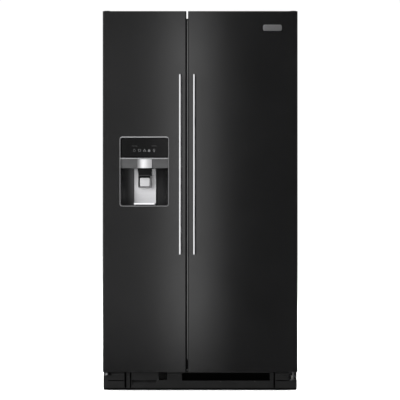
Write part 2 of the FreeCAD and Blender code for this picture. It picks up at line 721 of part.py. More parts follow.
def handle(x):
    """A slim bar with a rounded face on two posts."""
    span = about(x, HANDLE_WIDE)
    y = (Y_HANDLE, Y_HANDLE + HANDLE_THICK)
    bar = rounded(span, y, HANDLE_Z, 5.5, "z", lambda c: c.y < y[0] + 1)
    posts = [
        rounded(about(x, HANDLE_WIDE - 3), (y[1] - 1, Y_DOOR), about(z, 34), 4, "y")
        for z in (HANDLE_Z[0] + 32, HANDLE_Z[1] - 32)
    ]
    return fuse(bar, *posts)


def door_bin(span, z, height):
    """A lift-out bin between the raised ribs of a door."""
    y = (Y_DOOR_BACK + 0.5, Y_DOOR_BACK + 0.5 + BIN_DEEP)
    x = inset(span, DYKE_WIDE + 1)
    shape = rounded(x, y, (z, z + height), 22, "z", lambda c: c.y > y[1] - 1)
    hollow = rounded(inset(x, 3), inset(y, 3), (z + 3, z + height + 1), 19, "z", lambda c: c.y > y[1] - 4)
    front_dip = box(inset(x, 45), (y[1] - 5, y[1] + 5), (z + height - 22, z + height + 1))
    return cut(shape, hollow, front_dip)


FREEZER_BINS = ((1530.0, 105.0), (650.0, 120.0), (420.0, 120.0), (190.0, 120.0))
FRIDGE_BINS = ((1180.0, 130.0), (900.0, 140.0), (580.0, 150.0), (230.0, 150.0))
DAIRY_Z = (1440.0, 1540.0)


def fridge_door():
    x, span = FRIDGE_DOOR_X, door_spans(FRIDGE_DOOR_X, 1)
    core = door_core(x, span, HINGE_X)
    badge_x, badge_z, badge_wide, badge_high = 337.0, 1693.5, 88.0, 29.0
    badge = rounded(
        about(badge_x, badge_wide), (Y_DOOR - 2.5, Y_DOOR), about(badge_z, badge_high), 9, "y"
    )
    rim = [e for e in badge.Edges if e.CenterOfMass.y < Y_DOOR - 2.4]
    return {
        "fridge_door_skin": door_skin(x),
        "fridge_door_core": core,
        "fridge_door_liner": door_liner(x, span, core),
        "fridge_door_gasket": gasket(x, 1),
        "fridge_door_caps": door_caps(x, HINGE_X),
        "fridge_handle": handle(HANDLE_X["fridge"]),
        "badge_plate": badge.makeFillet(1.2, rim),
        "fridge_door_bins": group([dairy_bin(span), *(door_bin(span, z, h) for z, h in FRIDGE_BINS)]),
        "dairy_lid": dairy_lid(span),
    }


LID_AXIS = (-301.0, 1544.0)


def dairy_lid(span):
    """The flip-up cover of the dairy bin, with a drop front and a round hinge roll."""
    x = inset(span, DYKE_WIDE + 6)
    y, z = LID_AXIS
    front = Y_DOOR_BACK + BIN_DEEP + 4.5
    top = box(x, (y, front), (z - 1, z + 2))
    drop = box(x, (front - 3, front), (z - 28, z + 2))
    roll = rod((x[0] - 3, y, z), (1, 0, 0), 3, x[1] - x[0] + 6)
    return fuse(top, drop, roll)


def dairy_bin(span):
    """The covered bin, with two ears that hold the ends of the lid's roll."""
    y, z = LID_AXIS
    ends = inset(span, DYKE_WIDE + 1)
    ear_y, ear_z = (y - 7, y + 7), (DAIRY_Z[1] - 6, z + 6)
    ears = [box((x, x + 4), ear_y, ear_z) for x in (ends[0], ends[1] - 4)]
    body = door_bin(span, DAIRY_Z[0], DAIRY_Z[1] - DAIRY_Z[0])
    roll = rod((ends[0] - 1, y, z), (1, 0, 0), 3.2, ends[1] - ends[0] + 2)
    return cut(fuse(body, *ears), roll)


def bulge(shrink=0.0):
    """The raised block on the inside of the freezer door that holds the dispenser."""
    x = about(DISP_X, 250)
    y = (Y_DOOR_BACK - 6, Y_DOOR_BACK + BULGE_DEEP - shrink)
    return rounded(inset(x, shrink), y, inset(BULGE_Z, shrink), 16 - shrink, "y")


def freezer_door():
    x, span = FREEZER_DOOR_X, door_spans(FREEZER_DOOR_X, -1)
    edge = DISP_RIM - 2.5
    cutout_x, cutout_z = about(DISP_X, DISP_WIDE - 2 * edge), inset(DISP_Z, edge)
    cutout = rounded(cutout_x, (Y_DOOR - 10, HOUSING_FRONT), cutout_z, 12, "y")
    front_pocket = box(cutout_x, (Y_DOOR - 10, HOUSING_FRONT), cutout_z)
    panel_pocket = box(cutout_x, (Y_DOOR, Y_DOOR + 16), (DISP_BAR_Z[0] - 2, cutout_z[1]))
    deep_pocket = box(inset(cutout_x, -1), (Y_DOOR, HOUSING_BACK + 2.5), (cutout_z[0], HOUSING_Z[1]))
    holes = [front_pocket, panel_pocket, deep_pocket, duct_block()]
    core = door_core(x, span, -HINGE_X, extra=[bulge(LINER)], holes=holes)
    raw_core = door_core(x, span, -HINGE_X, extra=[bulge(LINER)])
    back = door_liner(x, span, raw_core, extra=[bulge()])
    return {
        "freezer_door_skin": cut(door_skin(x), cutout),
        "freezer_door_core": core,
        "freezer_door_liner": cut(back, duct_block(), deep_pocket),
        "freezer_door_gasket": gasket(x, -1),
        "freezer_door_caps": door_caps(x, -HINGE_X),
        "freezer_handle": handle(HANDLE_X["freezer"]),
        "freezer_door_bins": group([door_bin(span, z, h) for z, h in FREEZER_BINS]),
        **dispenser(),
    }


# ---- dispenser ----------------------------------------------------------------------------------
HOUSING_FRONT = Y_DOOR + 6.5
HOUSING_BACK = Y_DOOR + DISP_DEEP
HOUSING_HALF = DISP_WIDE / 2 - DISP_RIM
BACK_HALF = 56.0
COVE_BOW = 21.0
HOUSING_Z = (863.6, 1089.0)
DUCT_HALF = 34.0
DUCT_Z = (1089.0, BULGE_Z[1])
DUCT_SLOPE_TOP = 1150.0
DUCT_FOOT_Y = (-346.0, -296.0)
DUCT_BACK_Y = Y_DOOR_BACK + BULGE_DEEP - LINER
THROAT_HALF = 28.0
THROAT_Y = (-343.0, -306.0)
PADDLE_AXIS = (-305.0, 1000.0)
FLAP_AXIS = (-303.5, 1095.0)


def cove(half, back_half, front, back, z):
    """A recess with bowed sides: wide at the door's face and as wide as the insert at its back."""
    left = V(DISP_X - half, front, z[0]), V(DISP_X - back_half, back, z[0])
    right = V(DISP_X + back_half, back, z[0]), V(DISP_X + half, front, z[0])
    mid_y = front + (back - front) * 0.68
    curve_left = Part.Arc(left[0], V(DISP_X - half + COVE_BOW, mid_y, z[0]), left[1]).toShape()
    curve_right = Part.Arc(right[0], V(DISP_X + half - COVE_BOW, mid_y, z[0]), right[1]).toShape()
    wire = Part.Wire(
        [curve_left, Part.makeLine(left[1], right[0]), curve_right, Part.makeLine(right[1], left[0])]
    )
    return Part.Face(wire).extrude(V(0, 0, z[1] - z[0]))


def housing_block():
    """The outside of the recess moulding."""
    return cove(HOUSING_HALF + 2.5, BACK_HALF + 3, HOUSING_FRONT, HOUSING_BACK + 2.5, HOUSING_Z)


def duct_shape(wall, floor, head_z):
    """The duct's outside, or its inside by the wall and floor: narrow at the foot, then full depth."""
    front, foot_back, back = DUCT_FOOT_Y[0] + wall, DUCT_FOOT_Y[1] - wall, DUCT_BACK_Y - wall
    foot_z, slope_z = DUCT_Z[0] + floor, DUCT_SLOPE_TOP + floor
    corners = [
        (front, foot_z), (foot_back, foot_z), (back, slope_z), (back, head_z), (front, head_z),
    ]
    return prism("yz", corners, about(DISP_X, 2 * (DUCT_HALF - wall)))


def duct_block():
    """The outside of the ice duct, from above the spout to the top of the raised block."""
    return duct_shape(0.0, 0.0, DUCT_Z[1])


def dispenser_frame():
    """The bright rim round the panel and the recess, with its cross bar."""
    x, y = about(DISP_X, DISP_WIDE), (Y_DOOR - 2.5, Y_DOOR)
    rim = rounded(x, y, DISP_Z, 14, "y")
    step = DISP_RIM - 2
    lip = rounded(inset(x, step), (Y_DOOR, HOUSING_FRONT), inset(DISP_Z, step), 11.5, "y")
    bar = box(inset(x, DISP_RIM - 1), (Y_DOOR - 2.5, HOUSING_FRONT), DISP_BAR_Z)
    through = (Y_DOOR - 5, HOUSING_FRONT + 1)
    opening = rounded(inset(x, DISP_RIM), through, inset(DISP_Z, DISP_RIM), 9.5, "y")
    shape = fuse(cut(fuse(rim, lip), opening), bar)
    soft = [
        e for e in shape.Edges
        if abs(e.CenterOfMass.y - y[0]) < 0.05 and abs(e.BoundBox.YLength) < 0.01
    ]
    return shape.makeFillet(0.8, soft)


def dispenser_panel():
    """The glossy control panel above the cross bar."""
    z = (DISP_BAR_Z[1] + 0.3, DISP_Z[1] - DISP_RIM - 0.3)
    x = about(DISP_X, 2 * HOUSING_HALF - 0.6)
    return rounded(x, (Y_DOOR - 0.8, Y_DOOR + 12), z, 9.2, "y", lambda c: c.z > z[1] - 2)


def dispenser_housing():
    """The dark recess moulding, open at the front."""
    room_z = (HOUSING_Z[0] + 2.5, BROW_Z[0])
    hollow = cove(HOUSING_HALF, BACK_HALF, HOUSING_FRONT - 1, HOUSING_BACK, room_z)
    above = box(about(DISP_X, 2 * HOUSING_HALF - 1), (HOUSING_FRONT - 1, Y_DOOR + 60), BROW_Z)
    panel_room = box(about(DISP_X, 2 * HOUSING_HALF), (HOUSING_FRONT - 1, Y_DOOR + 14), (1080, 1100))
    return cut(housing_block(), hollow, above, panel_room, throat(0.5))


def throat(grow=0.0):
    """The space of the passage that runs down through the brow, grown by a clearance."""
    return box(about(DISP_X, 2 * (THROAT_HALF + grow)), inset(THROAT_Y, -grow), (1000, 1100))


def spout_shape(z):
    """The bowed plan of the bright spout cover."""
    half, back_y, side_y, nose_y = 34.5, Y_DOOR + 40, Y_DOOR + 8, Y_DOOR - 4
    left, right = V(DISP_X - half, side_y, z[0]), V(DISP_X + half, side_y, z[0])
    back_left, back_right = V(left.x, back_y, z[0]), V(right.x, back_y, z[0])
    nose = Part.Arc(left, V(DISP_X, nose_y, z[0]), right).toShape()
    wire = Part.Wire(
        [nose, Part.makeLine(right, back_right), Part.makeLine(back_right, back_left),
         Part.makeLine(back_left, left)]
    )
    return Part.Face(wire).extrude(V(0, 0, z[1] - z[0]))


def dispenser_brow():
    """The grey band across the top of the recess, with the bowed spout cover at its middle."""
    z, x = inset(BROW_Z, 0.3), inset(about(DISP_X, 2 * HOUSING_HALF - 1), 0.3)
    band = prism(
        "yz",
        [(Y_DOOR + 9, z[0]), (Y_DOOR + 59, z[0]), (Y_DOOR + 59, z[1]), (Y_DOOR + 2.5, z[1])],
        x,
    )
    spout = spout_shape(z)
    return cut(fuse(band, spout), throat(0.5))


def ice_chute():
    """The duct through the door, the throat in the brow and the dark nozzle behind the paddle."""
    wall = 3.0
    passage = box(about(DISP_X, 2 * (THROAT_HALF - wall)), inset(THROAT_Y, wall), (1000, 1100))
    duct = cut(duct_block(), duct_shape(wall, 2.5, DUCT_Z[1] + 1))
    sleeve = box(about(DISP_X, 2 * THROAT_HALF), THROAT_Y, (1038, DUCT_Z[0]))
    nozzle = prism(
        "xz",
        [(DISP_X - 33, 1041), (DISP_X + 33, 1041), (DISP_X + 28, 1006), (DISP_X - 28, 1006)],
        (-347.0, -296.0),
    )
    stem = box(about(DISP_X, 62), (-306, HOUSING_BACK), (952, 1041))
    recess = box(about(DISP_X, 50), (-320, -284), (955, 1004))
    return cut(fuse(duct, sleeve, nozzle, cut(stem, recess)), passage)


def dispenser_paddle():
    """The light push pad that hangs from its pivot and swings back when a glass is pushed in."""
    y, z = PADDLE_AXIS
    pad = rounded(about(DISP_X, 46), (y - 7, y - 2), (957, z - 3), 5, "y")
    edges = [e for e in pad.Edges if e.CenterOfMass.y < y - 6.9]
    pad = pad.makeFillet(1.8, edges)
    arm = box(about(DISP_X, 30), (y - 4, y), (z - 22, z))
    roll = rod((DISP_X - 23, y, z), (1, 0, 0), 3, 46)
    return fuse(pad, arm, roll)


def chute_flap():
    """The lid at the foot of the duct that keeps the cold in until ice is called for."""
    y, z = FLAP_AXIS
    plate = box(about(DISP_X, 58), (-340.5, y), (z - 2.5, z))
    roll = rod((DISP_X - 29, y, z), (1, 0, 0), 2.4, 58)
    return fuse(plate, roll)


def dispenser_insert():
    """The silver back plate of the recess, with short forward edges."""
    z = (HOUSING_Z[0] + 3, BROW_Z[0] - 1)
    y = (HOUSING_BACK - 3.5, HOUSING_BACK - 0.5)
    plate = box(about(DISP_X, 2 * 51), y, z)
    side = box((DISP_X - 51, DISP_X - 48), (y[0] - 5, y[1]), z)
    other = box((DISP_X + 48, DISP_X + 51), (y[0] - 5, y[1]), z)
    room_for_nozzle = box(about(DISP_X, 63), (y[0] - 10, y[1] + 5), (951, z[1] + 5))
    return cut(fuse(plate, side, other), room_for_nozzle)


def drip_tray():
    """The silver catch tray in the recess, its lip raised over a shadow gap, with drain slots."""
    lip_z, foot_z = (871.0, 878.0), HOUSING_Z[0] + 2.8
    y = (HOUSING_FRONT + 3, HOUSING_BACK - 9.5)
    lip = rounded(about(DISP_X, 98), y, lip_z, 3, "z", lambda c: c.y < y[0] + 1)
    pan = box(about(DISP_X, 84), (y[0] + 10, y[1] - 2), (foot_z, lip_z[0] + 1))
    slots = [
        box(about(DISP_X, 70), (at, at + 4), (lip_z[0] - 2, lip_z[1] + 1)) for at in range(-346, -290, 9)
    ]
    return cut(fuse(lip, pan), *slots)


def dispenser():
    return {
        "dispenser_frame": dispenser_frame(),
        "dispenser_panel": dispenser_panel(),
        "dispenser_brow": dispenser_brow(),
        "dispenser_housing": dispenser_housing(),
        "dispenser_insert": dispenser_insert(),
        "drip_tray": drip_tray(),
        "ice_chute": ice_chute(),
        "dispenser_paddle": dispenser_paddle(),
        "chute_flap": chute_flap(),
    }


# ---- inside the compartments --------------------------------------------------------------------
def shelf(x, y, z):
    """A glass pane in a moulded rim with a deeper front edge."""
    span, wide = inset(x, 2), 16.0
    rim = cut(
        rounded(span, y, (z, z + SHELF_THICK), 8, "z"),
        box(inset(span, wide), inset(y, wide), (z - 1, z + 20)),
    )
    groove = box(inset(span, wide - 5), inset(y, wide - 5), (z + 6, z + 10))
    nose = rounded(inset(span, 12), (y[0] - 4, y[0] + 6), (z - 10, z + SHELF_THICK), 3, "x")
    return [fuse(rim, nose).cut(groove), groove]


def shelves(x, levels, y):
    return group([piece for z in levels for piece in shelf(x, y, z)])


def drawer(x, y, z, corner=18.0):
    """A drawer with a rolled rim and a finger grip along its front."""
    body = tray(x, y, z, 3, corner)
    rim = cut(
        rounded(inset(x, -3), y, (z[1] - 6, z[1]), corner, "z"),
        rounded(inset(x, 3), inset(y, 3), (z[1] - 10, z[1] + 5), corner - 3, "z"),
    )
    grip = box(inset(x, 60), (y[0] - 10, y[0] + 1), (z[1] - 14, z[1] - 10))
    tip = box(inset(x, 60), (y[0] - 10, y[0] - 7), (z[1] - 26, z[1] - 10))
    return fuse(body, rim, grip, tip)


def ice_bin():
    """The ice bucket, with a covered front over its outlet."""
    x, y, z = (-330.0, -140.0), (-290.0, 285.0), (1308.5, 1480.0)
    bucket = tray(x, y, z, 3, 12)
    bulkhead = box(inset(x, 2), (-192, -189), (z[0] + 2, z[1]))
    lid = box(inset(x, 2), (y[0] + 2, -189), (z[1] - 3, z[1]))
    outlet = box(about(DISP_X, 58), (-284, -248), (z[0] - 1, z[0] + 5))
    shaft_hole = rod((AUGER[0], -200, AUGER[1]), (0, 1, 0), 8.5, 20)
    rear_hole = rod((AUGER[0], 270, AUGER[1]), (0, 1, 0), 7.15, 20)
    return cut(fuse(bucket, bulkhead, lid), outlet, shaft_hole, rear_hole)


AUGER = (-235.0, 1358.0)


def ice_auger():
    """A shaft with tilted discs that push the ice forward."""
    x, z = AUGER
    shaft = rod((x, -240, z), (0, 1, 0), 7, 523)
    discs = []
    for i in range(13):
        disc = rod((x, -160 + i * 33, z), (0, 1, 0), 36, 4)
        disc.rotate(V(x, -158 + i * 33, z), V(1, 0, 0), 14)
        discs.append(disc)
    crusher = rod((x, -236, z), (0, 1, 0), 34, 8)
    return fuse(shaft, crusher, *discs)


def ice_maker():
    """The mould with its crescent pockets, the drive box and the ejector shaft."""
    mould = box((-330, -232), (-60, 235), (1545, 1590))
    pocket_pitch = 40.0
    pockets = []
    for i in range(7):
        y = -50 + i * pocket_pitch
        pockets.append(rod((-281, y, 1592), (0, 1, 0), 40, pocket_pitch - 6))
    drive = rounded((-336, -226), (-106, -60), (1522, 1612), 8, "y")
    shaft = rod((-281, -60, 1594), (0, 1, 0), 4, 295)
    blades = [box((-281, -250), (y, y + 6), (1592, 1596)) for y in range(-36, 230, 40)]
    hanger = box((FREEZER_X[0], -328), (-60, 235), (1560, 1584))
    return fuse(cut(mould, *pockets), drive, hanger, shaft, *blades)


def evaporator_cover():
    """The freezer's back panel with its air slots, and the fan's motor behind it."""
    y = (300.0, 303.0)
    panel = box(inset(FREEZER_X, 2), y, (STEP_Z + 4, 1640))
    through = inset(y, -2)
    low = [box(about(-242.7, 200), through, about(345 + 14 * i, 6)) for i in range(4)]
    high = [box(about(-242.7, 200), through, about(1560 + 14 * i, 6)) for i in range(4)]
    guard = [rod((EVAP_FAN[0], y[0] - 2, EVAP_FAN[2]), (0, 1, 0), r, 8) for r in (58,)]
    bars = [box(about(EVAP_FAN[0], 120), y, about(EVAP_FAN[2] + dz, 4)) for dz in range(-48, 60, 16)]
    hub = rod((EVAP_FAN[0], y[0], EVAP_FAN[2]), (0, 1, 0), 16, 3)
    motor = rod((EVAP_FAN[0], 340, EVAP_FAN[2]), (0, 1, 0), 20, ROOM_BACK - 340)
    return group([fuse(cut(panel, *low, *high, *guard), *bars, hub), motor])


EVAP_FAN = (-242.7, 322.0, 1000.0)


def control_housing():
    """The control box under the fridge's ceiling, with a sloped front and a lamp recess below."""
    x, z = inset(FRIDGE_X, 3), (1640.0, ROOM_Z[1])
    shape = prism(
        "yz", [(-175, z[1]), (-160, z[0]), (70, z[0]), (70, z[1])], x
    )
    lamp = box(about(186.8, 240), (-90, 30), (z[0] - 1, z[0] + 10))
    return cut(shape, lamp)


def interior():
    drawer_x = {"freezer": (-350.0, -97.0), "fridge": (-24.0, 358.0)}
    rear, short = 285.0, 128.0
    front = DRAWER_FRONT
    return {
        "freezer_shelves": shelves(FREEZER_X, FREEZER_LEVELS, SHELF_Y),
        "fridge_shelves": shelves(FRIDGE_X, FRIDGE_LEVELS, SHELF_Y),
        "freezer_basket_upper": drawer(drawer_x["freezer"], (front, rear), (420.5, 600.0)),
        "freezer_basket_lower": drawer(drawer_x["freezer"], (front, short), (150.5, 400.0)),
        "crisper_upper": drawer(drawer_x["fridge"], (front, rear), (440.5, 618.0)),
        "crisper_lower": drawer(drawer_x["fridge"], (front, short), (150.5, 420.0)),
        "ice_bin": ice_bin(),
        "ice_auger": ice_auger(),
        "ice_maker": ice_maker(),
        "evaporator_cover": evaporator_cover(),
        "evaporator_fan": fan(EVAP_FAN, (0, 1, 0), 14, 52, 5, 30, 20),
        "control_housing": control_housing(),
    }


def main():
    os.makedirs("parts", exist_ok=True)
    nodes = {}
    for build in (cabinet, machine_space, kick_area, hinges, freezer_door, fridge_door, interior):
        nodes.update(build())
    for name, shape in nodes.items():
        shape.exportStep(f"parts/{name}.step")
        sound = shape.isValid() and all(s.isClosed() for s in shape.Shells)
        print(f"{name}: {len(shape.Solids)} solids, {shape.Volume / 1000:.0f} cm3, sound {sound}")
    print(len(nodes), "nodes")


main()
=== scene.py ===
import json
import math

import bmesh
import bpy
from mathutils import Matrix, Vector


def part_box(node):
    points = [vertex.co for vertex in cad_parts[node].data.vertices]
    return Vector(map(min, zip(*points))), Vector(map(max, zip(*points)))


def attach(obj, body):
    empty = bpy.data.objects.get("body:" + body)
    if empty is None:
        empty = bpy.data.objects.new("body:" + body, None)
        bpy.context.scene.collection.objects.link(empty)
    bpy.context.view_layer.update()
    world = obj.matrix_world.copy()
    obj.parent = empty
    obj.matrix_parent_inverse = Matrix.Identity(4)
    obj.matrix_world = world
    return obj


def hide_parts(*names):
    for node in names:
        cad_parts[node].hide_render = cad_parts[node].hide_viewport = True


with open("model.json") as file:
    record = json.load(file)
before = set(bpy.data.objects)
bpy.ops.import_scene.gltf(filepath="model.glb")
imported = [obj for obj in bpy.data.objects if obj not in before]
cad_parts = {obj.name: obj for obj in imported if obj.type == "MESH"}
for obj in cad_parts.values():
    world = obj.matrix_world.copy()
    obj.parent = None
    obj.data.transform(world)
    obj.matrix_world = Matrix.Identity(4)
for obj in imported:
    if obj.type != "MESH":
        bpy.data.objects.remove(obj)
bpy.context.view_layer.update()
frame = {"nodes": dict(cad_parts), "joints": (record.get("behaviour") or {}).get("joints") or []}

NODES = frame["nodes"]
MM = 0.001
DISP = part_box("dispenser_frame")
DISP_X = (DISP[0].x + DISP[1].x) / 2
DOOR_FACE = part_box("freezer_door_skin")[0].y


# ---- materials ----------------------------------------------------------------------------------
class Surface:
    """A material under construction: one Principled shader and the textures that drive it."""

    def __init__(self, name, color, roughness, metallic=0.0, **sockets):
        self.material = bpy.data.materials.new(name)
        self.material.use_nodes = True
        self.tree = self.material.node_tree
        self.shader = self.tree.nodes["Principled BSDF"]
        self.set(**{"Base Color": (*color, 1.0), "Roughness": roughness, "Metallic": metallic})
        self.set(**{key.replace("_", " "): value for key, value in sockets.items()})
        self.heights = None

    def set(self, **sockets):
        for key, value in sockets.items():
            self.shader.inputs[key].default_value = value

    def add(self, kind, **settings):
        node = self.tree.nodes.new(kind)
        for key, value in settings.items():
            if key in node.inputs:
                node.inputs[key].default_value = value
            else:
                setattr(node, key, value)
        return node

    def link(self, source, target):
        self.tree.links.new(source, target)

    def place(self, stretch=(1.0, 1.0, 1.0)):
        """Object coordinates in metres, scaled per axis."""
        coordinates = self.add("ShaderNodeTexCoord")
        mapping = self.add("ShaderNodeMapping")
        mapping.inputs["Scale"].default_value = stretch
        self.link(coordinates.outputs["Object"], mapping.inputs["Vector"])
        return mapping.outputs["Vector"]

    def noise(self, size, detail=2.0, stretch=(1.0, 1.0, 1.0)):
        """Noise whose blotches are about size metres across."""
        node = self.add("ShaderNodeTexNoise", Scale=1.0 / size, Detail=detail)
        self.link(self.place(stretch), node.inputs["Vector"])
        return node.outputs["Fac"]

    def cells(self, size, output="Distance"):
        """A pattern of rounded cells about size metres across."""
        node = self.add("ShaderNodeTexVoronoi", Scale=1.0 / size)
        self.link(self.place(), node.inputs["Vector"])
        return node.outputs[output]

    def spread(self, source, low, high, start=0.3, end=0.7):
        """Maps a texture's middle range to low..high."""
        node = self.add("ShaderNodeMapRange")
        for key, value in (("From Min", start), ("From Max", end), ("To Min", low), ("To Max", high)):
            node.inputs[key].default_value = value
        self.link(source, node.inputs["Value"])
        return node.outputs["Result"]

    def mottle(self, source, first, second, start=0.3, end=0.7):
        """Colour that varies between two tones."""
        ramp = self.add("ShaderNodeValToRGB")
        ramp.color_ramp.elements[0].position = start
        ramp.color_ramp.elements[0].color = (*first, 1.0)
        ramp.color_ramp.elements[1].position = end
        ramp.color_ramp.elements[1].color = (*second, 1.0)
        self.link(source, ramp.inputs["Fac"])
        self.link(ramp.outputs["Color"], self.shader.inputs["Base Color"])

    def across(self, left, right, tones):
        """Grey tones from left to right, given as (share of the width, tone) pairs."""
        split = self.add("ShaderNodeSeparateXYZ")
        self.link(self.place(), split.inputs[0])
        ramp = self.add("ShaderNodeValToRGB")
        stops = ramp.color_ramp.elements
        stops[0].color = (*grey(tones[0][1]), 1.0)
        stops[1].color = (*grey(tones[-1][1]), 1.0)
        for share, tone in tones[1:-1]:
            stops.new(share).color = (*grey(tone), 1.0)
        self.link(self.spread(split.outputs[0], 0.0, 1.0, left, right), ramp.inputs["Fac"])
        self.link(ramp.outputs["Color"], self.shader.inputs["Base Color"])

    def gloss(self, source, low, high):
        """Roughness that varies between two values."""
        self.link(self.spread(source, low, high), self.shader.inputs["Roughness"])

    def relief(self, source, depth, strength=1.0):
        """Adds one more layer of bump, depth metres high."""
        node = self.add("ShaderNodeBump", Distance=depth, Strength=strength)
        self.link(source, node.inputs["Height"])
        if self.heights is not None:
            self.link(self.heights, node.inputs["Normal"])
        self.heights = node.outputs["Normal"]
        self.link(self.heights, self.shader.inputs["Normal"])


def grey(value, lift=1.0):
    """A neutral tone, scaled."""
    return (value * lift, value * lift, value * lift * 1.02)


def door_enamel():
    """Smooth gloss-black enamel with a faint orange peel and dusty patches."""
    s = Surface("door_enamel", grey(0.0038), 0.06)
    s.mottle(s.noise(0.25, 3.0), grey(0.0036), grey(0.0043))
    s.gloss(s.noise(0.12, 4.0), 0.055, 0.075)
    s.relief(s.noise(0.006, 1.0), 0.000002, 0.35)
    return s.material


def cabinet_enamel():
    """Satin black enamel with the pebbled texture of a cabinet's sides."""
    s = Surface("cabinet_enamel", grey(0.012), 0.42)
    s.mottle(s.noise(0.3, 3.0), grey(0.0105), grey(0.0145))
    s.gloss(s.noise(0.05, 4.0), 0.36, 0.5)
    s.relief(s.noise(0.0016, 2.0), 0.00035, 0.6)
    return s.material


def black_moulding(name="black_moulding", tone=0.007, roughness=0.42, ior=1.45):
    """Matt black plastic with a fine spark-eroded grain."""
    s = Surface(name, grey(tone), roughness, IOR=ior)
    s.mottle(s.noise(0.04, 3.0), grey(tone, 0.85), grey(tone, 1.2))
    s.gloss(s.noise(0.02, 4.0), roughness - 0.06, roughness + 0.08)
    s.relief(s.noise(0.0006, 2.0), 0.00006, 0.5)
    return s.material


def gloss_moulding(name="gloss_moulding", tone=0.004, ior=1.5, roughness=0.06):
    """Polished black plastic with slight flow marks."""
    s = Surface(name, grey(tone), roughness, IOR=ior)
    s.mottle(s.noise(0.05, 2.0), grey(tone, 0.9), grey(tone, 1.15))
    s.gloss(s.noise(0.03, 4.0), roughness - 0.01, roughness + 0.03)
    s.relief(s.noise(0.02, 1.0), 0.00002, 0.3)
    return s.material


def brushed_metal(name, tone, roughness, along, depth=0.00002):
    """Brushed satin metal. The brushing runs along one axis."""
    fine = [1.0, 1.0, 1.0]
    fine["xyz".index(along)] = 0.01
    s = Surface(name, grey(tone), roughness, metallic=1.0)
    s.mottle(s.noise(0.0012, 4.0, fine), grey(tone, 0.93), grey(tone, 1.08))
    s.gloss(s.noise(0.0008, 3.0, fine), roughness - 0.05, roughness + 0.06)
    s.relief(s.noise(0.0006, 3.0, fine), depth, 0.25)
    return s.material


def recess_painted_shade(centre, half):
    """Satin black plastic with painted shade: the left wall lightens towards the silver insert up to a
    painted highlight line, and the right wall darkens outwards.
    """
    s = Surface("recess_painted_shade", grey(0.02), 0.45, IOR=1.3)
    # A painted highlight line, then near-black, along the insert's left edge; the wall tones are
    # painted shade.
    painted_edge_line = ((0.248, 0.075), (0.252, 0.001), (0.300, 0.001))
    left_wall = ((0.0, 0.007), (0.12, 0.018), (0.225, 0.065))
    right_wall = ((0.70, 0.018), (0.95, 0.006), (1.0, 0.004))
    s.across(centre - half, centre + half, (*left_wall, *painted_edge_line, *right_wall))
    s.gloss(s.noise(0.02, 4.0), 0.38, 0.55)
    s.relief(s.noise(0.0008, 2.0), 0.00004, 0.5)
    return s.material


def silver_paint(name, tone, metallic, roughness):
    """Silver-painted plastic with fine flake."""
    s = Surface(name, grey(tone), roughness, metallic=metallic)
    s.mottle(s.cells(0.0006), grey(tone, 0.94), grey(tone, 1.05), 0.1, 0.6)
    s.gloss(s.noise(0.02, 4.0), roughness - 0.04, roughness + 0.06)
    s.relief(s.noise(0.0009, 2.0), 0.00002, 0.4)
    return s.material


def spout_silver(centre, half):
    """Silver-painted plastic with painted shade, darker towards the sides of its bowed front."""
    s = Surface("spout_silver", grey(0.045), 0.38, metallic=0.45)
    # Painted shade across the bowed front, lightest across the middle.
    left_side = ((0.0, 0.045), (0.18, 0.155), (0.30, 0.34), (0.40, 0.48))
    right_side = ((0.60, 0.48), (0.80, 0.36), (1.0, 0.30))
    s.across(centre - half, centre + half, (*left_side, *right_side))
    s.gloss(s.noise(0.02, 4.0), 0.34, 0.44)
    s.relief(s.noise(0.0009, 2.0), 0.00002, 0.4)
    return s.material


def grey_moulding(name, tone, roughness=0.4):
    """Grey-painted plastic."""
    s = Surface(name, grey(tone), roughness)
    s.mottle(s.noise(0.02, 3.0), grey(tone, 0.93), grey(tone, 1.08))
    s.gloss(s.noise(0.03, 3.0), roughness - 0.04, roughness + 0.06)
    s.relief(s.noise(0.0009, 2.0), 0.00003, 0.5)
    return s.material


def white_liner():
    """Thermoformed white plastic, glossy with a soft ripple."""
    s = Surface("white_liner", (0.50, 0.51, 0.51), 0.22)
    s.mottle(s.noise(0.2, 2.0), (0.48, 0.49, 0.49), (0.52, 0.53, 0.53))
    s.gloss(s.noise(0.05, 3.0), 0.18, 0.28)
    s.relief(s.noise(0.012, 2.0), 0.00012, 0.25)
    return s.material


def white_nylon():
    """Moulded white nylon, slightly waxy."""
    s = Surface("white_nylon", (0.78, 0.78, 0.75), 0.38, Subsurface_Weight=0.05)
    s.mottle(s.noise(0.01, 3.0), (0.74, 0.74, 0.71), (0.82, 0.82, 0.79))
    s.gloss(s.noise(0.02, 3.0), 0.32, 0.46)
    s.relief(s.noise(0.0012, 2.0), 0.00005, 0.5)
    return s.material


def seal_rubber():
    """Soft black vinyl."""
    s = Surface("seal_rubber", grey(0.010), 0.6)
    s.mottle(s.noise(0.03, 3.0), grey(0.008), grey(0.016))
    s.gloss(s.noise(0.02, 3.0), 0.5, 0.7)
    s.relief(s.noise(0.002, 3.0), 0.0001, 0.4)
    return s.material


def insulation():
    """Sawn yellow foam."""
    s = Surface("insulation", (0.72, 0.60, 0.33), 0.9)
    s.mottle(s.noise(0.01, 6.0), (0.62, 0.50, 0.26), (0.80, 0.70, 0.42))
    s.relief(s.cells(0.0012), 0.0004, 0.7)
    return s.material


def clear_moulding():
    """Clear plastic with faint flow lines."""
    s = Surface("clear_moulding", (0.93, 0.96, 0.97), 0.05, IOR=1.46, Transmission_Weight=0.92)
    s.gloss(s.noise(0.04, 3.0), 0.05, 0.11)
    s.relief(s.noise(0.03, 2.0), 0.0002, 0.3)
    return s.material


def shelf_glass():
    """Tempered glass with a faint green tint and wipe marks."""
    s = Surface("shelf_glass", (0.82, 0.93, 0.90), 0.02, IOR=1.5, Transmission_Weight=0.95)
    s.gloss(s.noise(0.1, 4.0), 0.01, 0.05)
    return s.material


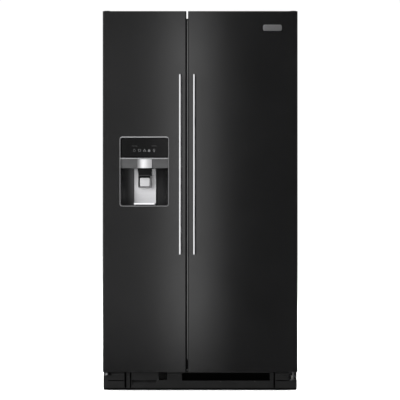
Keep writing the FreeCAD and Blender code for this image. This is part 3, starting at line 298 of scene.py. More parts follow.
def galvanised():
    """Zinc-coated sheet with its spangle."""
    s = Surface("galvanised", (0.5, 0.51, 0.52), 0.42, metallic=0.9)
    s.mottle(s.cells(0.012, "Color"), (0.40, 0.41, 0.42), (0.58, 0.59, 0.60))
    s.gloss(s.noise(0.015, 4.0), 0.32, 0.52)
    return s.material


def zinc():
    """Yellowish zinc plate on screws and feet."""
    s = Surface("zinc_plate", (0.62, 0.60, 0.55), 0.3, metallic=1.0)
    s.mottle(s.noise(0.004, 4.0), (0.52, 0.50, 0.46), (0.70, 0.68, 0.62))
    s.gloss(s.noise(0.003, 4.0), 0.24, 0.42)
    return s.material


def black_lacquer():
    """Thick black lacquer with runs over steel."""
    s = Surface("black_lacquer", grey(0.009), 0.25, Coat_Weight=0.4)
    s.mottle(s.noise(0.03, 3.0), grey(0.0075), grey(0.011))
    s.gloss(s.noise(0.03, 4.0), 0.18, 0.35)
    s.relief(s.noise(0.012, 3.0), 0.0003, 0.4)
    return s.material


def bare_coil():
    """Dull tube and fin metal with dust."""
    s = Surface("bare_coil", (0.33, 0.33, 0.34), 0.45, metallic=0.85)
    s.mottle(s.noise(0.02, 5.0), (0.20, 0.19, 0.18), (0.42, 0.42, 0.43))
    s.gloss(s.noise(0.01, 4.0), 0.35, 0.6)
    s.relief(s.noise(0.002, 3.0), 0.0001, 0.4)
    return s.material


ENAMEL = door_enamel()
CABINET = cabinet_enamel()
MOULDING = black_moulding()
PLATE = black_moulding("kick_plate_black", 0.0036, 0.5, 1.35)
# Near-black for painted shade and shadow: in the vent, under the tray's lip, round the panel and badge,
# and at the kick plate.
SHADE_BLACK = black_moulding("painted_shade_black", 0.0008, 0.8, 1.1)
EDGE = black_moulding("edge_enamel", 0.0032, 0.5, 1.25)
NOZZLE = black_moulding("nozzle_black", 0.0028, 0.5, 1.25)
LIP = black_moulding("nozzle_edge", 0.02, 0.4)
STEEL = black_moulding("dark_steel", 0.03, 0.4)
GLOSS = gloss_moulding("control_glass", 0.0024, 1.25, 0.05)
RECESS = recess_painted_shade(DISP_X, 108 * MM)
BAR = brushed_metal("handle_bar", 0.62, 0.13, "z", 0.000006)
BADGE = brushed_metal("badge_metal", 0.36, 0.34, "x")
SPOUT = spout_silver(DISP_X, 35 * MM)
RIM = silver_paint("rim_silver", 0.20, 0.4, 0.34)
RIM_SHADE = silver_paint("rim_shadow", 0.085, 0.4, 0.38)
SILVER = silver_paint("insert_silver", 0.50, 0.15, 0.42)
PADDLE = silver_paint("paddle_silver", 0.36, 0.15, 0.42)
GREY = grey_moulding("brow_grey", 0.037)
BEAD = gloss_moulding("mullion_gloss", 0.004, 2.0, 0.07)
POCKET = grey_moulding("pocket_grey", 0.11)
BUTTON = black_moulding("button_moulding", 0.0016, 0.5, 1.16)
PRINT = grey_moulding("print_grey", 0.075, 0.5)
FAINT = grey_moulding("faint_print", 0.016, 0.5)
SCREW = black_moulding("dark_screw", 0.020, 0.4)
GREY_PLUG = grey_moulding("plug_grey", 0.20, 0.5)
LINER = white_liner()
NYLON = white_nylon()
RUBBER = seal_rubber()
FOAM = insulation()
CLEAR = clear_moulding()
GLASS = shelf_glass()
GALVANISED = galvanised()
ZINC = zinc()
LACQUER = black_lacquer()
COIL = bare_coil()

NODE_MATERIALS = {
    CABINET: ("cabinet_shell", "front_frame", "machine_cover"),
    FOAM: ("cabinet_insulation", "freezer_door_core", "fridge_door_core"),
    GALVANISED: ("base_frame", "rear_panel"),
    LINER: (
        "freezer_liner", "fridge_liner", "freezer_door_liner", "fridge_door_liner",
        "evaporator_cover", "control_housing",
    ),
    LACQUER: ("compressor", "hinge_brackets"),
    COIL: ("refrigerant_coils",),
    NYLON: ("water_valve", "ice_bin", "ice_maker"),
    # The hinge cams take this black as painted shade in the dark gap under the doors.
    MOULDING: (
        "condenser_fan", "front_rollers", "rear_rollers", "hinge_covers", "chute_flap",
        "evaporator_fan", "hinge_cams",
    ),
    PLATE: ("base_grille", "water_filter"),
    BUTTON: ("filter_button",),
    NOZZLE: ("ice_chute",),
    EDGE: ("freezer_door_caps", "fridge_door_caps"),
    ZINC: ("leveling_foot_left", "leveling_foot_right", "ice_auger"),
    STEEL: ("hinge_screws",),
    ENAMEL: ("freezer_door_skin", "fridge_door_skin"),
    RUBBER: ("freezer_door_gasket", "fridge_door_gasket"),
    BAR: ("freezer_handle", "fridge_handle"),
    BADGE: ("badge_plate",),
    RIM: ("dispenser_frame",),
    GLOSS: ("dispenser_panel",),
    GREY: ("dispenser_brow",),
    RECESS: ("dispenser_housing",),
    SILVER: ("dispenser_insert", "drip_tray"),
    PADDLE: ("dispenser_paddle",),
    CLEAR: (
        "freezer_door_bins", "fridge_door_bins", "dairy_lid", "freezer_basket_upper",
        "freezer_basket_lower", "crisper_upper", "crisper_lower",
    ),
    GLASS: ("freezer_shelves", "fridge_shelves"),
}
for node_material, node_names in NODE_MATERIALS.items():
    for node_name in node_names:
        slots = NODES[node_name].data.materials
        slots.clear()
        slots.append(node_material)


def paint_part(node, material, rule):
    """Gives a second material to the faces of a CAD node that a rule picks."""
    mesh = NODES[node].data
    mesh.materials.append(material)
    last = len(mesh.materials) - 1
    for polygon in mesh.polygons:
        if rule(polygon):
            polygon.material_index = last


FLAT = 0.97


def paint_details():
    """Two-tone parts: panes in their rims, rims on clear drawers, the filter's barrel and so on, with
    painted shade and highlights on the kick plate, dispenser frame, drip tray and paddle.
    """
    pane_area = 0.01
    rim_high = 6.2 * MM
    grip_deep = 9.9 * MM
    sweep_and_shadow_z = 9.9 * MM
    ridge_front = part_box("base_grille")[0].y
    shade_behind_y, ridge_y = ridge_front + 2.5 * MM, ridge_front + 1.1 * MM
    # Faces behind the plate front (vent and slots) are painted near-black as painted shade; the sweep
    # at the foot gets it too, partly its black rubber and partly painted shadow along the floor.
    paint_part("base_grille", SHADE_BLACK, lambda f: f.center.y > shade_behind_y or f.center.z < sweep_and_shadow_z)
    # The ridges' fronts take the lighter moulding as a painted highlight; the scoop's sloped floor
    # takes it too.
    paint_part("base_grille", MOULDING, lambda f: f.center.y < ridge_y or in_scoop(f))
    barrel_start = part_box("water_filter")[0].y + 8.5 * MM
    paint_part("water_filter", NYLON, lambda f: f.center.y > barrel_start)
    paint_part("hinge_brackets", STEEL, lambda f: on_hinge_pin(f) and f.center.x > 0)
    for node in ("freezer_door_skin", "fridge_door_skin"):
        paint_part(node, EDGE, lambda f: abs(f.normal.y) < FLAT)
    # Below its top, apart from the bar, the frame takes a darker silver as painted shade; the top and
    # the bar keep the bright silver.
    top_z = DISP[1].z - 5.5 * MM
    bar_low, bar_high = 1.080, 1.092
    paint_part(
        "dispenser_frame", RIM_SHADE,
        lambda f: f.center.z < top_z and not bar_low < f.center.z < bar_high,
    )
    # The tray's pan below its lip is painted near-black as painted shade under the lip.
    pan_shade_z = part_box("drip_tray")[1].z - 7.2 * MM
    paint_part("drip_tray", SHADE_BLACK, lambda f: f.center.z < pan_shade_z)
    # The paddle's top band is painted nozzle black as a painted shadow under the nozzle's lip.
    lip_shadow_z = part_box("dispenser_paddle")[1].z - 6.2 * MM
    paint_part("dispenser_paddle", NOZZLE, lambda f: f.center.z > lip_shadow_z)
    for node in ("freezer_shelves", "fridge_shelves"):
        paint_part(node, LINER, lambda f: f.area < pane_area)
    for node in ("freezer_basket_upper", "freezer_basket_lower", "crisper_upper", "crisper_lower"):
        low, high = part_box(node)
        rim_z, grip_y = high.z - rim_high, low.y + grip_deep
        paint_part(node, LINER, lambda f: f.center.z > rim_z or f.center.y < grip_y)


def in_scoop(face):
    """True for the sloped floor of the finger recess below the filter."""
    left, right, top = -0.325, -0.203, 0.050
    sloped = 0.3 < abs(face.normal.z) < 0.95
    return sloped and left < face.center.x < right and face.center.z < top


def on_hinge_pin(face):
    """True for the upright faces of the hinge pins."""
    pin_radius = 6.5 * MM
    across = abs(face.center.x) - HINGE_X
    return math.hypot(across, face.center.y - HINGE_Y) < pin_radius and abs(face.normal.z) < 0.5


HINGE = next(joint for joint in frame["joints"] if joint["name"] == "fridge_door_hinge")
HINGE_X, HINGE_Y = HINGE["pos_m"][:2]
paint_details()


# ---- making pieces ------------------------------------------------------------------------------
PLACES = {
    "xy": lambda a, b, s: (a, b, s),
    "xz": lambda a, b, s: (a, s, b),
    "yz": lambda a, b, s: (s, a, b),
}


def arc(centre, radius, start, end, steps=8):
    """Points along an arc, from one angle to another in degrees."""
    points = []
    for i in range(steps + 1):
        angle = math.radians(start + (end - start) * i / steps)
        points.append((centre[0] + radius * math.cos(angle), centre[1] + radius * math.sin(angle)))
    return points


def rounded_outline(a, b, radius, steps=6):
    """A rounded rectangle from its (low, high) spans."""
    left, right, low, high = a[0] + radius, a[1] - radius, b[0] + radius, b[1] - radius
    return [
        *arc((right, high), radius, 0, 90, steps), *arc((left, high), radius, 90, 180, steps),
        *arc((left, low), radius, 180, 270, steps), *arc((right, low), radius, 270, 360, steps),
    ]


def about(centre, size):
    """The (low, high) pair of a span round its centre."""
    return (centre - size / 2, centre + size / 2)


def extruded(outline, plane, span):
    """The vertices and faces of an outline drawn in a plane and extruded over a span."""
    count = len(outline)
    place = PLACES[plane]
    verts = [place(a, b, s) for s in span for a, b in outline]
    sides = [(i, (i + 1) % count, (i + 1) % count + count, i + count) for i in range(count)]
    return verts, [tuple(range(count)), tuple(range(count, 2 * count)), *sides]


def hollow_frame(outline, inner, plane, span):
    """The same with a hole: two outlines that have the same number of points."""
    count = len(outline)
    place = PLACES[plane]
    verts = [place(a, b, s) for s in span for ring in (outline, inner) for a, b in ring]
    faces = []
    for i in range(count):
        j = (i + 1) % count
        faces.append((i, j, j + count, i + count))
        faces.append((i + 2 * count, j + 2 * count, j + 3 * count, i + 3 * count))
        faces.append((i, j, j + 2 * count, i + 2 * count))
        faces.append((i + count, j + count, j + 3 * count, i + 3 * count))
    return verts, faces


def loft(rings, plane):
    """A closed solid through outlines that have the same number of points, each at its own level."""
    place = PLACES[plane]
    count = len(rings[0][0])
    verts = [place(a, b, level) for outline, level in rings for a, b in outline]
    faces = [tuple(range(count)), tuple(range(len(verts) - count, len(verts)))]
    for k in range(len(rings) - 1):
        for i in range(count):
            j = (i + 1) % count
            faces.append((k * count + i, k * count + j, (k + 1) * count + j, (k + 1) * count + i))
    return verts, faces


def turned(profile, centre, axis, steps=24):
    """A solid of revolution: (radius, along) points turned round an axis through a centre."""
    turn = Vector((0, 0, 1)).rotation_difference(Vector(axis))
    verts, faces = [], []
    for i in range(steps):
        angle = 2 * math.pi * i / steps
        for radius, along in profile:
            point = Vector((radius * math.cos(angle), radius * math.sin(angle), along))
            verts.append(tuple(Vector(centre) + turn @ point))
    count = len(profile)
    for i in range(steps):
        for j in range(count - 1):
            a, b = i * count + j, (i + 1) % steps * count + j
            faces.append((a, b, b + 1, a + 1))
    return verts, faces


def swept_ring(path, profile):
    """A closed profile of (outwards, y) points carried round a closed path in the xz plane."""
    verts, faces = [], []
    count, wide = len(path), len(profile)
    for i, (x, z) in enumerate(path):
        ahead, behind = path[(i + 1) % count], path[i - 1]
        along = Vector((ahead[0] - behind[0], ahead[1] - behind[1])).normalized()
        for out, y in profile:
            verts.append((x + along.y * out, y, z - along.x * out))
    for i in range(count):
        for j in range(wide):
            a, b = i * wide, (i + 1) % count * wide
            k = (j + 1) % wide
            faces.append((a + j, a + k, b + k, b + j))
    return verts, faces


def joined(shapes):
    """Several shapes as one list of vertices and one of faces."""
    verts, faces = [], []
    for new_verts, new_faces in shapes:
        shift = len(verts)
        verts += new_verts
        faces += [tuple(i + shift for i in face) for face in new_faces]
    return verts, faces


def piece(name, shape, material, body, slot, rounding=0.0, smooth=False):
    """A new mesh object that rides on a body, with its sharp edges rounded when a rounding is given."""
    mesh = bpy.data.meshes.new(name)
    mesh.from_pydata(shape[0], [], shape[1])
    work = bmesh.new()
    work.from_mesh(mesh)
    bmesh.ops.remove_doubles(work, verts=work.verts, dist=0.000005)
    bmesh.ops.recalc_face_normals(work, faces=work.faces)
    work.to_mesh(mesh)
    work.free()
    mesh.materials.append(material)
    obj = bpy.data.objects.new(name, mesh)
    bpy.context.collection.objects.link(obj)
    for polygon in mesh.polygons:
        polygon.use_smooth = smooth or rounding > 0
    if rounding:
        bevel = obj.modifiers.new("round", "BEVEL")
        bevel.width = rounding
        bevel.segments = 3
        bevel.limit_method = "ANGLE"
        bevel.angle_limit = math.radians(40)
        obj.modifiers.new("normals", "WEIGHTED_NORMAL")
    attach(obj, body)
    return obj


def grown(outline_spans, by):
    """Both spans of a rectangle moved out by the same amount."""
    (a0, a1), (b0, b1) = outline_spans
    return (a0 - by, a1 + by), (b0 - by, b1 + by)


# ---- seals, bins and other inside pieces --------------------------------------------------------
def add_gasket(side):
    """The magnetic seal with its bellows, in place of the plain ring."""
    node = f"{side}_door_gasket"
    low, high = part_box(node)
    half = 8 * MM
    x, z = grown(((low.x, high.x), (low.z, high.z)), -half)
    path = rounded_outline(x, z, 9 * MM, 8)
    root, tip = low.y, high.y
    deep = tip - root
    half_profile = [
        (5.0, 0.0), (5.4, 0.16), (3.4, 0.3), (7.2, 0.44), (7.8, 0.56), (7.9, 0.86), (7.2, 1.0),
    ]
    outer = [(out * MM, root + deep * share) for out, share in half_profile]
    inner = [(-out, y) for out, y in reversed(outer)]
    ring = swept_ring(path, outer + inner)
    seal = piece(f"{side}_seal", ring, RUBBER, f"{side}_door", "seal_rubber")
    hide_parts(node)


BIN_FEET = {"freezer": (1.530, 0.650, 0.420, 0.190), "fridge": (1.440, 1.180, 0.900, 0.580, 0.230)}
BIN_CORNER = 22 * MM


def add_bin_bands(side):
    """A white trim band round the front of each door bin."""
    low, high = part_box(f"{side}_door_bins")
    proud, thick = 0.6 * MM, 1.4 * MM
    back_y = high.y - 48 * MM
    radius = BIN_CORNER + proud
    x = (low.x - proud, high.x + proud)
    front = high.y + proud
    outer = [(x[0], back_y), *arc((x[0] + radius, front - radius), radius, 180, 90),
             *arc((x[1] - radius, front - radius), radius, 90, 0), (x[1], back_y)]
    core = radius - thick
    inner = [(x[0] + thick, back_y), *arc((x[0] + radius, front - radius), core, 180, 90),
             *arc((x[1] - radius, front - radius), core, 90, 0), (x[1] - thick, back_y)]
    bands = [
        extruded(outer + inner[::-1], "xy", (foot + 12 * MM, foot + 34 * MM)) for foot in BIN_FEET[side]
    ]
    piece(f"{side}_bin_bands", joined(bands), LINER, f"{side}_door", "white_liner", 0.4 * MM)


def add_lamp_lens():
    """The ribbed lens in the recess below the control housing."""
    low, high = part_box("control_housing")
    length = 0.232
    x, y = about((low.x + high.x) / 2, length), (-0.086, 0.026)
    columns, rows = 56, 18
    top, sag = low.z + 8 * MM, 6 * MM
    verts, faces = [], []
    for level in (0, 1):
        for i in range(columns + 1):
            for j in range(rows + 1):
                u, v = i / columns, j / rows
                dome = (1 - (2 * u - 1) ** 4) * (1 - (2 * v - 1) ** 4)
                rib = 0.35 * MM * math.cos(u * columns * math.pi / 2)
                drop = level * (1.0 * MM + (sag - 1.5 * MM) * dome + rib * min(1.0, dome * 2))
                verts.append((x[0] + (x[1] - x[0]) * u, y[0] + (y[1] - y[0]) * v, top - drop))
    layer = (columns + 1) * (rows + 1)
    for level in (0, 1):
        for i in range(columns):
            for j in range(rows):
                a = level * layer + i * (rows + 1) + j
                faces.append((a, a + 1, a + rows + 2, a + rows + 1))
    rim = [i * (rows + 1) for i in range(columns)]
    rim += [columns * (rows + 1) + j for j in range(rows)]
    rim += [i * (rows + 1) + rows for i in range(columns, 0, -1)]
    rim += [j for j in range(rows, 0, -1)]
    for a, b in zip(rim, rim[1:] + rim[:1]):
        faces.append((a, b, b + layer, a + layer))
    piece("lamp_lens", (verts, faces), NYLON, "cabinet", "white_nylon", smooth=True)


DOT = [(0.0, 0.25 * MM), (3.0 * MM, 0.25 * MM), (3.4 * MM, 0.0)]


def add_control_strip():
    """The dark touch strip on the sloped front of the control housing, with plain printed dots."""
    low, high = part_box("control_housing")
    middle = (low.x + high.x) / 2
    lean = math.atan2(15 * MM, high.z - low.z)
    centre_z = (low.z + high.z) / 2
    centre_y = low.y + 7.5 * MM
    length, height, front = 0.17, 0.026, -0.8 * MM
    outline = rounded_outline(about(0, length), about(0, height), 6 * MM)
    strip = extruded(outline, "xz", (front, 0.2 * MM))
    dots = [turned(DOT, (x, front, 0), (0, -1, 0), 20) for x in (-0.06, -0.03, 0, 0.03, 0.06)]
    for name, shape, material, slot, rounding in (
        ("control_strip", strip, GLOSS, "gloss_black", 0.3 * MM),
        ("control_dots", joined(dots), PRINT, "grey_plastic", 0.0),
    ):
        verts = []
        for vx, vy, vz in shape[0]:
            y = vy * math.cos(lean) - vz * math.sin(lean)
            z = vz * math.cos(lean) + vy * math.sin(lean)
            verts.append((middle + vx, centre_y + y, centre_z + z))
        piece(name, (verts, shape[1]), material, "cabinet", slot, rounding)


def add_ice_arm():
    """The wire arm of the ice maker that feels how full the bucket is."""
    low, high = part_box("ice_maker")
    side = high.x - 3 * MM
    curve = bpy.data.curves.new("ice_arm", "CURVE")
    curve.dimensions = "3D"
    curve.bevel_depth = 1.5 * MM
    curve.bevel_resolution = 4
    curve.use_fill_caps = True
    points = [
        (side, low.y + 46 * MM, 1.566), (side + 12 * MM, low.y + 48 * MM, 1.560),
        (side + 14 * MM, low.y + 70 * MM, 1.530), (side + 14 * MM, low.y + 110 * MM, 1.500),
        (side + 14 * MM, high.y - 70 * MM, 1.500), (side + 14 * MM, high.y - 30 * MM, 1.530),
        (side + 8 * MM, high.y - 12 * MM, 1.560), (side - 4 * MM, high.y - 8 * MM, 1.568),
    ]
    spline = curve.splines.new("NURBS")
    spline.points.add(len(points) - 1)
    for point, place in zip(spline.points, points):
        point.co = (*place, 1.0)
    spline.order_u = 3
    spline.use_endpoint_u = True
    curve.materials.append(ZINC)
    arm = bpy.data.objects.new("ice_arm", curve)
    bpy.context.collection.objects.link(arm)
    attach(arm, "cabinet")


def add_mullion_bead():
    """The grey bead down the middle of the centre post, seen between the doors."""
    post_x, foot, head = -0.0594, 0.142, 1.738
    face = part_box("front_frame")[0].y
    x = about(post_x, 5.2 * MM)
    outline = [(x[0], face), (x[0], face - 2 * MM), (x[1], face - 2 * MM), (x[1], face)]
    bead = extruded(outline, "xy", (foot, head))
    piece("mullion_bead", bead, BEAD, "cabinet", "grey_plastic", 0.4 * MM)


# ---- dispenser and badge ------------------------------------------------------------------------
def bowed(half, side_y, nose_y, steps=28):
    """A shallow arc in plan from side to side through its nose."""
    sag = side_y - nose_y
    radius = (half * half + sag * sag) / (2 * sag)
    edge = math.degrees(math.asin(half / radius))
    return arc((DISP_X, nose_y + radius), radius, 270 - edge, 270 + edge, steps)


def add_spout_cover():
    """The bright bowed cover over the ice outlet."""
    low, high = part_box("dispenser_brow")
    half = 35.2 * MM
    root = DOOR_FACE + 9 * MM
    front = bowed(half, DOOR_FACE + 1.2 * MM, DOOR_FACE - 5.4 * MM)
    outline = [(DISP_X - half, root), *front, (DISP_X + half, root)]
    shape = extruded(outline, "xy", (low.z - 0.4 * MM, high.z - 0.2 * MM))
    piece("spout_cover", shape, SPOUT, "freezer_door", "silver_plastic", 0.5 * MM)


def add_nozzle_lip():
    """The grey lip round the foot of the dark nozzle."""
    front, foot = -0.3470, 1.0060
    outline = rounded_outline(about(DISP_X, 58 * MM), (front - 1.4 * MM, front + 6 * MM), 2.5 * MM)
    inner = rounded_outline(about(DISP_X, 52 * MM), (front + 0.4 * MM, front + 4 * MM), 1.5 * MM)
    shape = hollow_frame(outline, inner, "xy", (foot - 1.2 * MM, foot + 2.2 * MM))
    piece("nozzle_lip", shape, LIP, "freezer_door", "black_plastic", 0.4 * MM)


def add_pocket_rim():
    """A grey rim at the right and the foot of the paddle's pocket, darker than the insert; at the foot
    the grey is painted shadow.
    """
    left, inner, right = DISP_X - 28 * MM, DISP_X + 25.4 * MM, DISP_X + 31 * MM
    low, sill, top = 0.9525, 0.9572, 1.0035
    front, back = -0.3072, -0.3058
    outline = [(left, low), (right, low), (right, top), (inner, top), (inner, sill), (left, sill)]
    shape = extruded(outline, "xz", (front, back))
    # Painted shadow at the foot of the pocket, in grey.
    piece("pocket_rim", shape, POCKET, "freezer_door", "grey_plastic", 0.3 * MM)


def add_panel_shadow_line():
    """A thin near-black band of painted shadow along the border of the control panel."""
    low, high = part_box("dispenser_panel")
    inner = ((low.x + 5.5 * MM, high.x - 3.8 * MM), (low.z + 5.0 * MM, high.z - 3.8 * MM))
    shape = hollow_frame(
        rounded_outline((low.x, high.x), (low.z, high.z), 8.8 * MM),
        rounded_outline(*inner, 6.0 * MM), "xz", (low.y - 0.15 * MM, low.y + 0.05 * MM),
    )
    piece("panel_shadow_line", shape, SHADE_BLACK, "freezer_door", "black_plastic")


def ring_band(outline, width):
    """An outline and its copy moved in by a width, about the outline's middle."""
    mid = [sum(p[k] for p in outline) / len(outline) for k in (0, 1)]
    reach = max(math.hypot(p[0] - mid[0], p[1] - mid[1]) for p in outline)
    share = 1 - width / reach
    inner = [(mid[0] + (a - mid[0]) * share, mid[1] + (b - mid[1]) * share) for a, b in outline]
    return outline, inner


SYMBOL_Z = 1.1235
SYMBOL_STEPS = (-46.5, -22.5, 1.5, 22.5, 45.5)
LABEL_Z = 1.1437


def panel_symbols():
    """Five plain symbols: a drop, a cube, crushed pieces, a padlock and a lamp."""
    z, size, line = SYMBOL_Z, 7.0 * MM, 1.5 * MM
    columns = [DISP_X + step * MM for step in SYMBOL_STEPS]
    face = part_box("dispenser_panel")[0].y
    span = (face - 0.15 * MM, face + 0.05 * MM)

    def band(outline):
        return hollow_frame(*ring_band(outline, line), "xz", span)

    def solid(outline):
        return extruded(outline, "xz", span)

    x = columns[0]
    drop = [*arc((x, z - 1.8 * MM), 5.0 * MM, 150, 390, 14), (x, z + size)]
    x = columns[1]
    cube = rounded_outline(about(x, 11 * MM), about(z, 11 * MM), 1.6 * MM)
    x = columns[2]
    bits = [
        solid([(x + dx, z + dz + 3 * MM), (x + dx + 3 * MM, z + dz), (x + dx, z + dz - 3 * MM),
               (x + dx - 3 * MM, z + dz)])
        for dx, dz in ((-4.2 * MM, -3.2 * MM), (4.2 * MM, -3.2 * MM), (0, 3.6 * MM))
    ]
    x = columns[3]
    lock = solid(rounded_outline(about(x, 10 * MM), (z - 6.2 * MM, z + 1.0 * MM), 1.2 * MM))
    shackle = arc((x, z + 1.4 * MM), 4.2 * MM, 0, 180, 12)
    shackle += arc((x, z + 1.4 * MM), 2.7 * MM, 180, 0, 12)
    x = columns[4]
    bulb = arc((x, z + 1.2 * MM), 5.0 * MM, 0, 345, 20)
    stem = solid(rounded_outline(about(x, 4.6 * MM), (z - 7.0 * MM, z - 5.0 * MM), 0.6 * MM))
    return [band(drop), band(cube), *bits, lock, solid(shackle), band(bulb), stem]


def add_panel_marks():
    """The printed symbols and the two faint bars above the outer ones."""
    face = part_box("dispenser_panel")[0].y
    span = (face - 0.12 * MM, face + 0.05 * MM)
    height = about(LABEL_Z, 1.8 * MM)
    outlines = [
        rounded_outline(about(DISP_X + step * MM, 25 * MM), height, 0.8 * MM)
        for step in (SYMBOL_STEPS[0], SYMBOL_STEPS[-1])
    ]
    bars = [extruded(outline, "xz", span) for outline in outlines]
    piece("panel_symbols", joined(panel_symbols()), PRINT, "freezer_door", "grey_plastic")
    piece("panel_bars", joined(bars), FAINT, "freezer_door", "grey_plastic")


def add_badge_face():
    """A blank raised field on the badge plate, and a near-black ring of painted shadow round the plate.
    """
    low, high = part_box("badge_plate")
    x, z = grown(((low.x, high.x), (low.z, high.z)), -3.2 * MM)
    outline = rounded_outline(x, z, 6.2 * MM, 8)
    shape = extruded(outline, "xz", (low.y - 0.35 * MM, low.y + 0.3 * MM))
    piece("badge_face", shape, BADGE, "fridge_door", "satin_silver", 0.25 * MM)
    # Painted shadow: a near-black ring a little larger than the plate, on the door face.
    x, z = grown(((low.x, high.x), (low.z, high.z)), 2.4 * MM)
    depth = (DOOR_FACE - 0.7 * MM, DOOR_FACE + 0.1 * MM)
    shadow_ring = extruded(rounded_outline(x, z, 11 * MM, 8), "xz", depth)
    piece("badge_shadow_ring", shadow_ring, SHADE_BLACK, "fridge_door", "black_plastic", 0.2 * MM)


# ---- kick plate and back ------------------------------------------------------------------------
def screw_head(centre, axis, radius):
    """A domed head with a flat washer rim."""
    profile = [
        (0.0, 0.62 * radius), (0.35 * radius, 0.58 * radius), (0.62 * radius, 0.42 * radius),
        (0.74 * radius, 0.2 * radius), (radius, 0.16 * radius), (radius, 0.0),
    ]
    return turned(profile, centre, axis)


def add_grille_screws():
    """Small dark screws in the kick plate."""
    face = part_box("water_filter")[0].y + 2 * MM
    places = ((0.096, 0.0415), (0.257, 0.0415), (-0.3375, 0.064))
    heads = [screw_head((x, face, z), (0, -1, 0), 2.6 * MM) for x, z in places]
    piece("grille_screws", joined(heads), SCREW, "cabinet", "dark_steel", smooth=True)


def add_panel_shadow_strips():
    """Near-black strips of painted shadow along the tops of the end panels, under the doors."""
    left_span, right_span = (-0.414, -0.357), (0.354, 0.415)
    height = (0.0832, 0.0872)
    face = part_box("base_grille")[0].y + 0.9 * MM
    depth = about(face, 1 * MM)
    strips = [
        extruded(rounded_outline(span, height, 0.8 * MM), "xz", depth)
        for span in (left_span, right_span)
    ]
    piece("panel_shadow_strips", joined(strips), SHADE_BLACK, "cabinet", "black_plastic", 0.15 * MM)


def add_shade_sheets():
    """Near-black sheets of painted shade behind the kick plate, on either side of the filter and its
    button.
    """
    low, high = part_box("base_grille")
    margin, filter_span, height = 12 * MM, (-0.337, -0.148), (0.016, 0.086)
    depth = (high.y + 1 * MM, high.y + 4 * MM)
    sheets = [
        extruded(rounded_outline(span, height, 3 * MM), "xz", depth)
        for span in ((low.x + margin, filter_span[0]), (filter_span[1], high.x - margin))
    ]
    piece("shade_sheets", joined(sheets), SHADE_BLACK, "cabinet", "foam", 0.8 * MM)


def add_hinge_plug():
    """The light plug in the lower left hinge."""
    centre = (-0.4375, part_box("hinge_cams")[0].y + 0.2 * MM, 0.0775)
    head = screw_head(centre, (0, -1, 0), 5.4 * MM)
    piece("hinge_plug", head, GREY_PLUG, "cabinet", "white_nylon", smooth=True)


def add_rear_panel():
    """The back sheet with pressed ribs and rows of screws, in place of the plain sheet."""
    low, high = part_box("rear_panel")
    base = high.y - 1.3 * MM
    screw_pitch, screw_inset = 0.2, 12 * MM
    sheet = extruded(rounded_outline((low.x, high.x), (low.z, high.z), 1 * MM, 2), "xz", (low.y, base))
    ribs = []
    for column in (-0.28, -0.14, 0.0, 0.14, 0.28):
        outline = rounded_outline(about(column, 0.022), (low.z + 0.12, high.z - 0.12), 0.0109, 8)
        crest = rounded_outline(about(column, 0.014), (low.z + 0.124, high.z - 0.124), 0.0069, 8)
        ribs.append(loft([(outline, base - 0.0001), (crest, high.y - 0.3 * MM)], "xz"))
    heads = [
        screw_head((x, base, z), (0, 1, 0), 2.04 * MM)
        for x in (low.x + screw_inset, high.x - screw_inset)
        for z in [low.z + 0.03 + i * screw_pitch for i in range(8)]
    ]
    back = piece("rear_sheet", joined([sheet, *ribs]), GALVANISED, "cabinet", "galvanised")
    piece("rear_screws", joined(heads), ZINC, "cabinet", "zinc", smooth=True)
    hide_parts("rear_panel")


for door_side in ("freezer", "fridge"):
    add_gasket(door_side)
    add_bin_bands(door_side)
add_lamp_lens()
add_control_strip()
add_ice_arm()
add_mullion_bead()
add_spout_cover()
add_nozzle_lip()
add_pocket_rim()
add_panel_shadow_line()
add_panel_marks()
add_badge_face()
add_grille_screws()
add_panel_shadow_strips()
add_shade_sheets()
add_hinge_plug()
add_rear_panel()


# ---- studio -------------------------------------------------------------------------------------
CAMERA_X = -0.0007
CAMERA_REACH = 6.0
CAMERA_HEIGHT = 0.8922
HALF_VIEW = math.atan(0.15524)     # half the picture's width, seen from the camera
BACKDROP = 1.02                    # brightness of the plain ground behind the appliance


def add_camera():
    """A level camera six metres in front of the doors, at half the refrigerator's height."""
    data = bpy.data.cameras.new("camera")
    data.lens = data.sensor_width / 2 / math.tan(HALF_VIEW)
    camera = bpy.data.objects.new("camera", data)
    camera.location = (CAMERA_X, DOOR_FACE - CAMERA_REACH, CAMERA_HEIGHT)
    camera.rotation_euler = (math.radians(90), 0, 0)
    bpy.context.collection.objects.link(camera)
    bpy.context.scene.camera = camera


def add_light(name, place, target, size, power):
    """A soft box that lights matt surfaces; the sky does the reflections."""
    data = bpy.data.lights.new(name, "AREA")
    data.shape = "RECTANGLE"
    data.size, data.size_y = size
    data.energy = power
    light = bpy.data.objects.new(name, data)
    light.location = place
    light.rotation_euler = (Vector(target) - Vector(place)).to_track_quat("-Z", "Y").to_euler()
    light.visible_glossy = False
    light.visible_camera = False
    bpy.context.collection.objects.link(light)


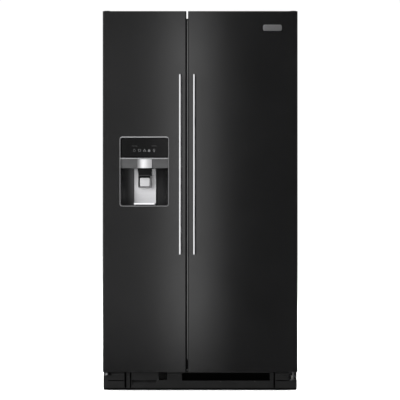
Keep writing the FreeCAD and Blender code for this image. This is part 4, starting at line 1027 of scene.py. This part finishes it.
class Sky:
    """The studio round the appliance, as brightness by direction."""

    def __init__(self):
        world = bpy.data.worlds.new("studio")
        world.use_nodes = True
        bpy.context.scene.world = world
        self.tree = world.node_tree
        self.tree.nodes.clear()

    def math(self, operation, *values):
        node = self.tree.nodes.new("ShaderNodeMath")
        node.operation = operation
        for socket, value in zip(node.inputs, values):
            if isinstance(value, (int, float)):
                socket.default_value = value
            else:
                self.tree.links.new(value, socket)
        return node.outputs[0]

    def bell(self, angle, centre, width):
        """A smooth hump: 1 at the centre and 0.37 one width away."""
        offset = self.math("DIVIDE", self.math("SUBTRACT", angle, centre), width)
        return self.math("EXPONENT", self.math("MULTIPLY", self.math("MULTIPLY", offset, offset), -1.0))

    def ramp(self, angle, start, end, low, high):
        """A smooth step from low to high."""
        node = self.tree.nodes.new("ShaderNodeMapRange")
        node.interpolation_type = "SMOOTHSTEP"
        for key, value in (("From Min", start), ("From Max", end), ("To Min", low), ("To Max", high)):
            node.inputs[key].default_value = value
        self.tree.links.new(angle, node.inputs["Value"])
        return node.outputs["Result"]

    def times(self, *values):
        """The product of several values."""
        product = values[0]
        for value in values[1:]:
            product = self.math("MULTIPLY", product, value)
        return product

    def plus(self, *values):
        """The sum of several values."""
        total = values[0]
        for value in values[1:]:
            total = self.math("ADD", total, value)
        return total

    def brightness(self):
        """A window strip ahead, a bright wall at the left, a dark one at the right and a ceiling."""
        coordinates = self.tree.nodes.new("ShaderNodeTexCoord")
        split = self.tree.nodes.new("ShaderNodeSeparateXYZ")
        self.tree.links.new(coordinates.outputs["Generated"], split.inputs[0])
        x, y, z = split.outputs
        turn = self.math("DEGREES", self.math("ARCTAN2", x, self.math("MULTIPLY", y, -1.0)))
        rise = self.math("DEGREES", self.math("ARCSINE", z))
        strip = self.plus(
            self.times(self.bell(turn, -0.46, 1.2), 1.6),
            self.ramp(turn, -1.8, 1.5, 0.34, 0.0),
        )
        above = self.ramp(rise, 6.2, 10.5, 1.0, 0.35)
        below = self.ramp(rise, -3.9, -9.4, 1.0, 0.05)
        front_only = self.ramp(turn, -7.0, -9.0, 1.0, 0.0)
        ahead = self.times(strip, above, below, front_only)
        left_wall = self.times(
            self.ramp(turn, -8.0, -14.0, 0.0, 1.6),
            self.ramp(turn, -95.0, -118.0, 1.0, 0.0),
        )
        ceiling = self.ramp(rise, 35.0, 70.0, 0.0, 2.2)
        return self.plus(ahead, left_wall, ceiling)

    def build(self):
        studio = self.tree.nodes.new("ShaderNodeBackground")
        studio.inputs["Color"].default_value = (1, 1, 1, 1)
        self.tree.links.new(self.brightness(), studio.inputs["Strength"])
        white = self.tree.nodes.new("ShaderNodeBackground")
        white.inputs["Color"].default_value = (1, 1, 1, 1)
        white.inputs["Strength"].default_value = BACKDROP
        path = self.tree.nodes.new("ShaderNodeLightPath")
        mix = self.tree.nodes.new("ShaderNodeMixShader")
        output = self.tree.nodes.new("ShaderNodeOutputWorld")
        self.tree.links.new(path.outputs["Is Camera Ray"], mix.inputs["Fac"])
        self.tree.links.new(studio.outputs[0], mix.inputs[1])
        self.tree.links.new(white.outputs[0], mix.inputs[2])
        self.tree.links.new(mix.outputs[0], output.inputs["Surface"])


def add_floor():
    """A wide pale floor."""
    half = 14.0
    mesh = bpy.data.meshes.new("studio_floor")
    corners = [(-half, -half, 0), (half, -half, 0), (half, half, 0), (-half, half, 0)]
    mesh.from_pydata(corners, [], [(0, 1, 2, 3)])
    floor = bpy.data.objects.new("studio_floor", mesh)
    s = Surface("pale_floor", (0.9, 0.9, 0.9), 0.8)
    s.mottle(s.noise(0.8, 2.0), (0.89, 0.89, 0.89), (0.91, 0.91, 0.91))
    mesh.materials.append(s.material)
    bpy.context.collection.objects.link(floor)
    floor.visible_glossy = False


add_camera()
Sky().build()
add_floor()
add_light("key", (-3.2, -4.5, 2.6), (0, -0.3, 0.9), (2.5, 2.5), 260)
add_light("fill", (3.6, -1.5, 2.4), (0, 0, 0.9), (2.5, 2.5), 60)
add_light("back", (1.5, 4.2, 2.8), (0, 0, 0.9), (3, 2), 160)
add_light("top", (0, 0, 4.6), (0, 0, 0), (6, 6), 700)
bpy.context.scene.view_settings.view_transform = "Standard"
